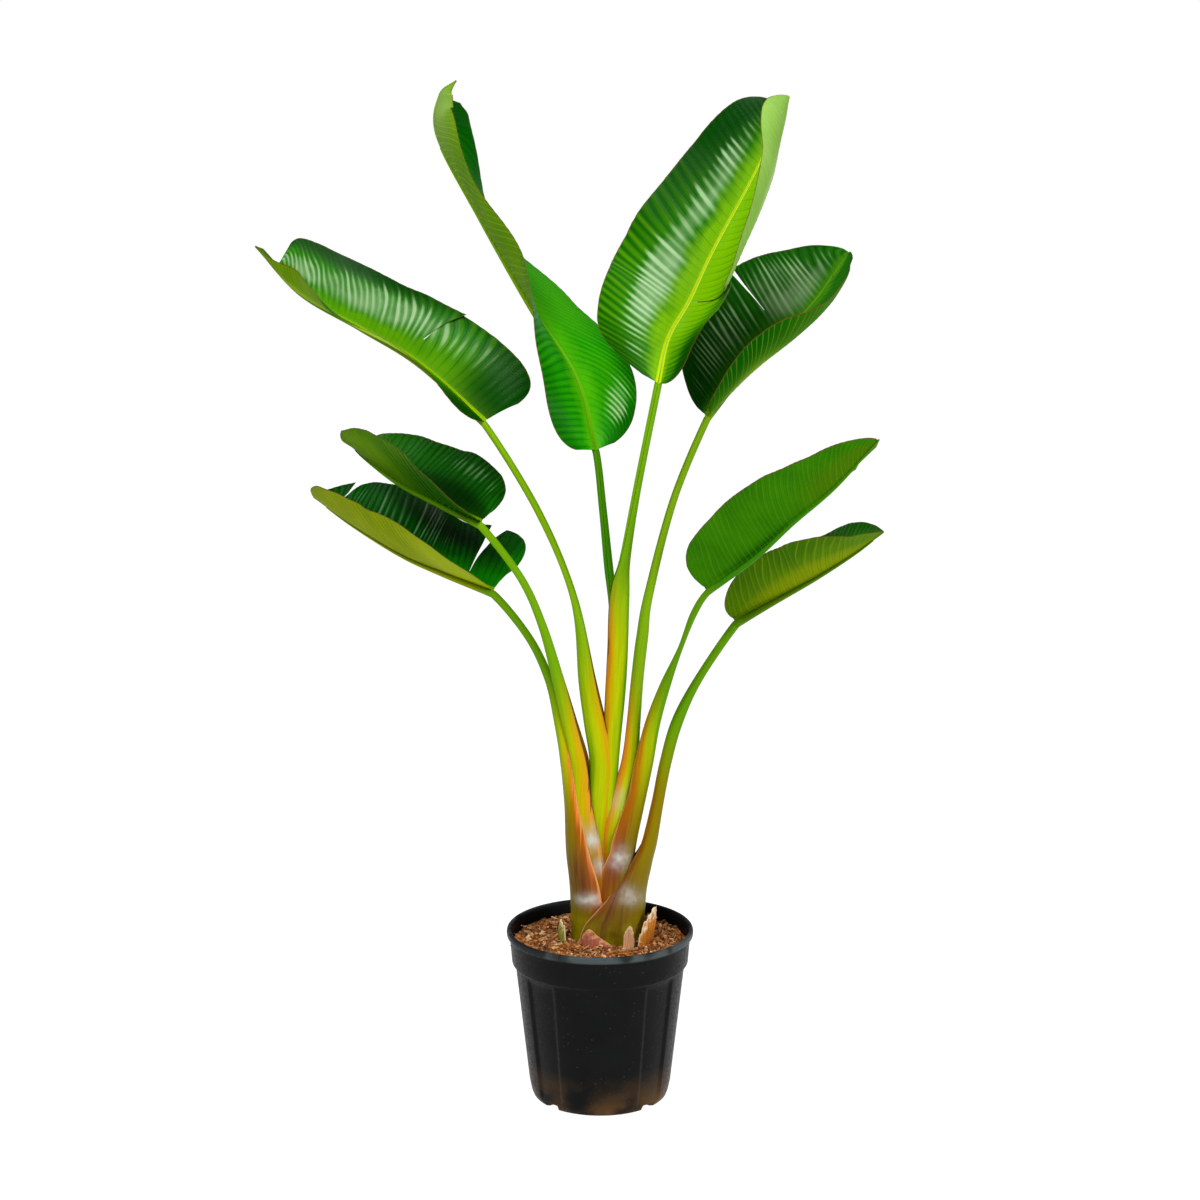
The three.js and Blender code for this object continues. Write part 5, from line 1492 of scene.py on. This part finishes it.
def fibre(rng):
    """Bent strip: rings of four points along a curve."""
    steps, length, width = 7, rng.uniform(14, 34), rng.uniform(0.7, 1.6)
    u = np.linspace(-0.5, 0.5, steps)
    bend, lift = rng.uniform(-0.5, 0.5), rng.uniform(0.02, 0.16)
    line = np.stack([u * length, bend * length * u ** 2, lift * length * (0.25 - u ** 2)], -1)
    side = np.array([0, width / 2, 0]) * (1 - 1.6 * np.abs(u))[:, None]
    up = np.array([0, 0, 0.35])
    strip = np.stack([line - side - up, line + side - up, line + side + up, line - side + up], 1)
    return closed_tube(strip)


print("a cube has", len(CUBE), "corners and", len(CUBE_FACES), "faces")

# %% Loose bits on the soil
CRUMBS = 900
CHIPS = 260
FIBRES = 150
CRUMB_SIZE, CRUMB_SIDES = (1.6, 5.0), (0.5, 1.0)
CHIP_SIZES = [(6, 14), (3, 6.5), (1, 2.6)]
PROUD = 0.45           # how much of what lies below a bit's middle stays above the soil

bits_rng = np.random.default_rng(77)
bit_points, bit_faces, bit_shades = [], [], []
total = 0
for k in range(CRUMBS + CHIPS + FIBRES):
    x, y = open_place(bits_rng)
    if k < CRUMBS:
        size = bits_rng.uniform(*CRUMB_SIZE) * bits_rng.uniform(*CRUMB_SIDES, 3)
        shape, shape_faces = block(bits_rng, size, 0.7, 1.2)
        tilt, shade = 1.2, bits_rng.uniform(0, 0.95)
    elif k < CRUMBS + CHIPS:
        size = [bits_rng.uniform(*limits) for limits in CHIP_SIZES]
        shape, shape_faces = block(bits_rng, size, 0.75, 1.15)
        tilt, shade = 0.45, bits_rng.uniform(0.4, 1.0)
    else:
        shape, shape_faces = fibre(bits_rng)
        tilt, shade = 0.2, bits_rng.uniform(0.6, 1.0)
    shape = turned(shape, bits_rng, tilt)
    level = soil_height(x, y) - shape[:, 2].min() * PROUD
    bit_points.append(shape + [x, y, float(level)])
    bit_faces += [[v + total for v in face] for face in shape_faces]
    bit_shades.append(np.full(len(shape), shade))
    total += len(shape)
bits = make_piece(
    "loose_bits", np.concatenate(bit_points) * MM, bit_faces, [chip_finish],
    readings={"shade": np.concatenate(bit_shades)}, flat=True,
)
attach(bits, BODY)
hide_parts("soil")
print("loose bits:", CRUMBS + CHIPS + FIBRES, "faces:", len(bits.data.polygons))

# %% [markdown]
# ## Old leaf bases
# Round the foot stand the remains of older leaves: a pink-brown scale, an orange cut stub with a
# frayed top, a small green one and a papery shred. Flat cards with a picture would do from afar.
# Each of these is a curved plate on an oval round the sheaths, and lengthwise ridges, a ragged
# crest and a flare outwards give it its dry look.

# %% Old base finishes
STREAK_DARK = 0.55     # tone of the dark streaks against the lower colour
# lower colour, upper colour, colour of the crest
OLD_TONES = {
    "basal_scale": ((196, 132, 40), (190, 104, 84), (236, 170, 110)),
    "cut_stub_right": ((196, 106, 8), (216, 132, 14), (240, 216, 176)),
    "cut_stub_left": ((112, 134, 14), (168, 164, 44), (232, 214, 168)),
    "dry_shred": ((190, 120, 70), (232, 178, 132), (248, 216, 180)),
}


def old_base_finish(name, tones):
    material, tree, shader = finish_tree(f"{name}_finish")
    lower, upper, crest = (srgb(*tone) for tone in tones)
    grain = reading(tree, "grain", "Vector")
    streak = place(tree, streaks, Vector=grain, Across=520.0, Along=36.0).outputs["Streak"]
    patch = place(tree, mottle, Vector=grain, Scale=110.0, Detail=4.0).outputs["Patch"]
    shift = scaled(tree, math_node(tree, "SUBTRACT", patch, 0.5), 0.3)
    level = math_node(tree, "ADD", reading(tree, "reach"), shift)
    colour = ramp(tree, level, [(0.1, lower), (0.5, upper), (0.85, upper), (1.0, crest)])
    dark = srgb(*(STREAK_DARK * c for c in tones[0]))
    colour = mix(tree, scaled(tree, streak, 0.4), colour, dark)
    colour = browned(tree, colour, "edge", 0.8, 0.2, crest, grain)
    complete(tree, shader, colour, fade(tree, patch, 0, 1, 0.6, 0.8), streak, 0.6, 0.001)
    return material


old_finishes = {name: old_base_finish(name, tones) for name, tones in OLD_TONES.items()}
print("old base finishes:", len(old_finishes))

# %% Old bases
# centre and radii of the oval, first and last angle from +X, lowest and highest height, the
# crest between the angles as a share of the height, outward flare, thickness, height of the
# ridges and raggedness of the crest
OLD_BASES = {
    "basal_scale": dict(centre=(10, -2), radii=(56, 47), angles=(-140, -80), bottom=203,
                        top=263, crest=[0.6, 0.85, 1, 0.86, 0.72, 0.6], flare=0, thickness=1.4,
                        ridges=0.3, ragged=0.01),
    "cut_stub_right": dict(centre=(10, 0), radii=(62, 53), angles=(-46, -2), bottom=205,
                           top=288, crest=[0.56, 0.8, 0.94, 1, 0.9, 0.94], flare=10, thickness=4,
                           ridges=1.0, ragged=0.1),
    "cut_stub_left": dict(centre=(10, 0), radii=(64, 60), angles=(186, 206), bottom=205,
                          top=267, crest=[0.8, 1, 0.9, 0.94], flare=3, thickness=5,
                          ridges=0.7, ragged=0.06),
    "dry_shred": dict(centre=(10, 0), radii=(62, 58), angles=(-69, -53), bottom=208, top=271,
                      crest=[0.8, 1, 0.94, 0.6], flare=7, thickness=1.6,
                      ridges=0.6, ragged=0.12),
}
OLD_ROWS, OLD_COLUMNS = 60, 70
RIDGE_TURNS = 34               # radians that the wave of the ridges runs through
SIDE_WALL, CREST_WALL = 0.35, 0.4      # thickness there against the middle
SIDE_NEAR, CREST_NEAR = 8, 14          # how fast a side and the crest stop being near


def make_old_base(name, base, finish, rng):
    share, row = np.linspace(0, 1, OLD_COLUMNS), np.linspace(0, 1, OLD_ROWS)[:, None]
    first, last = base["angles"]
    angle = np.radians(first + (last - first) * share)
    frayed = rng.uniform(-1, 1, OLD_COLUMNS) * base["ragged"]
    crest = smooth(base["crest"], share) * (1 + np.minimum(frayed, 0.02))
    rise = row * crest[None]
    height = base["bottom"] + (base["top"] - base["bottom"]) * rise
    ridge = base["ridges"] * np.sin(share * RIDGE_TURNS + 1.3 * ripple(rng, share, 4, 2.0))[None]
    out = base["flare"] * rise ** 2 + ridge * soft_step(rise, 0.1, 0.5)
    at_side = np.minimum(share, 1 - share)
    wall = base["thickness"] * (SIDE_WALL + (1 - SIDE_WALL) * soft_step(at_side, 0, 0.16))[None]
    wall = wall * (1 - (1 - CREST_WALL) * soft_step(row, 0.8, 1))

    def plate(outward):
        """Grid of points that stand outward of the oval."""
        x = base["centre"][0] + np.cos(angle) * (base["radii"][0] + outward)
        y = base["centre"][1] + np.sin(angle) * (base["radii"][1] + outward)
        return np.stack([x, y, height], -1) * MM

    kept = np.ones((OLD_ROWS - 1, OLD_COLUMNS - 1), bool)
    points, faces, _ = closed_sheet(plate(out + wall), plate(out), kept)
    full = np.ones_like(rise)
    edge = np.maximum(1 - SIDE_NEAR * at_side * full, 1 - CREST_NEAR * (1 - row))
    readings = {
        "reach": row * full,
        "edge": np.clip(edge, 0, 1),
        "grain": np.stack([angle * base["radii"][0] * full, height, 0 * full], -1) * MM,
    }
    rows = {label: np.concatenate([in_rows(values)] * 2) for label, values in readings.items()}
    return make_piece(f"{name}_fine", points, faces, [finish], readings=rows)


old_rng = np.random.default_rng(12)
for name, base in OLD_BASES.items():
    remains = make_old_base(name, base, old_finishes[name], old_rng)
    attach(remains, BODY)
    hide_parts(name)
    print(remains.name, "faces:", len(remains.data.polygons))

# %% [markdown]
# ## Crown
# The crown is the woody foot that every sheath grows from. It could be modelled with its roots,
# but it lies under the soil, so its plain solid stays, with a fibrous finish.

# %% Crown
CROWN_BROWN = srgb(120, 92, 42)
CROWN_TAN = srgb(176, 146, 84)

crown_finish, tree, shader = finish_tree("crown_finish")
where = add(tree, "ShaderNodeTexCoord").outputs["Object"]
strand = place(tree, streaks, Vector=where, Across=300.0, Along=300.0).outputs["Streak"]
colour = mix(tree, strand, CROWN_BROWN, CROWN_TAN)
complete(tree, shader, colour, 0.85, strand, 0.6, 0.002)
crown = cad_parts["crown"]
crown.data.materials.clear()
crown.data.materials.append(crown_finish)
print("crown keeps its solid")
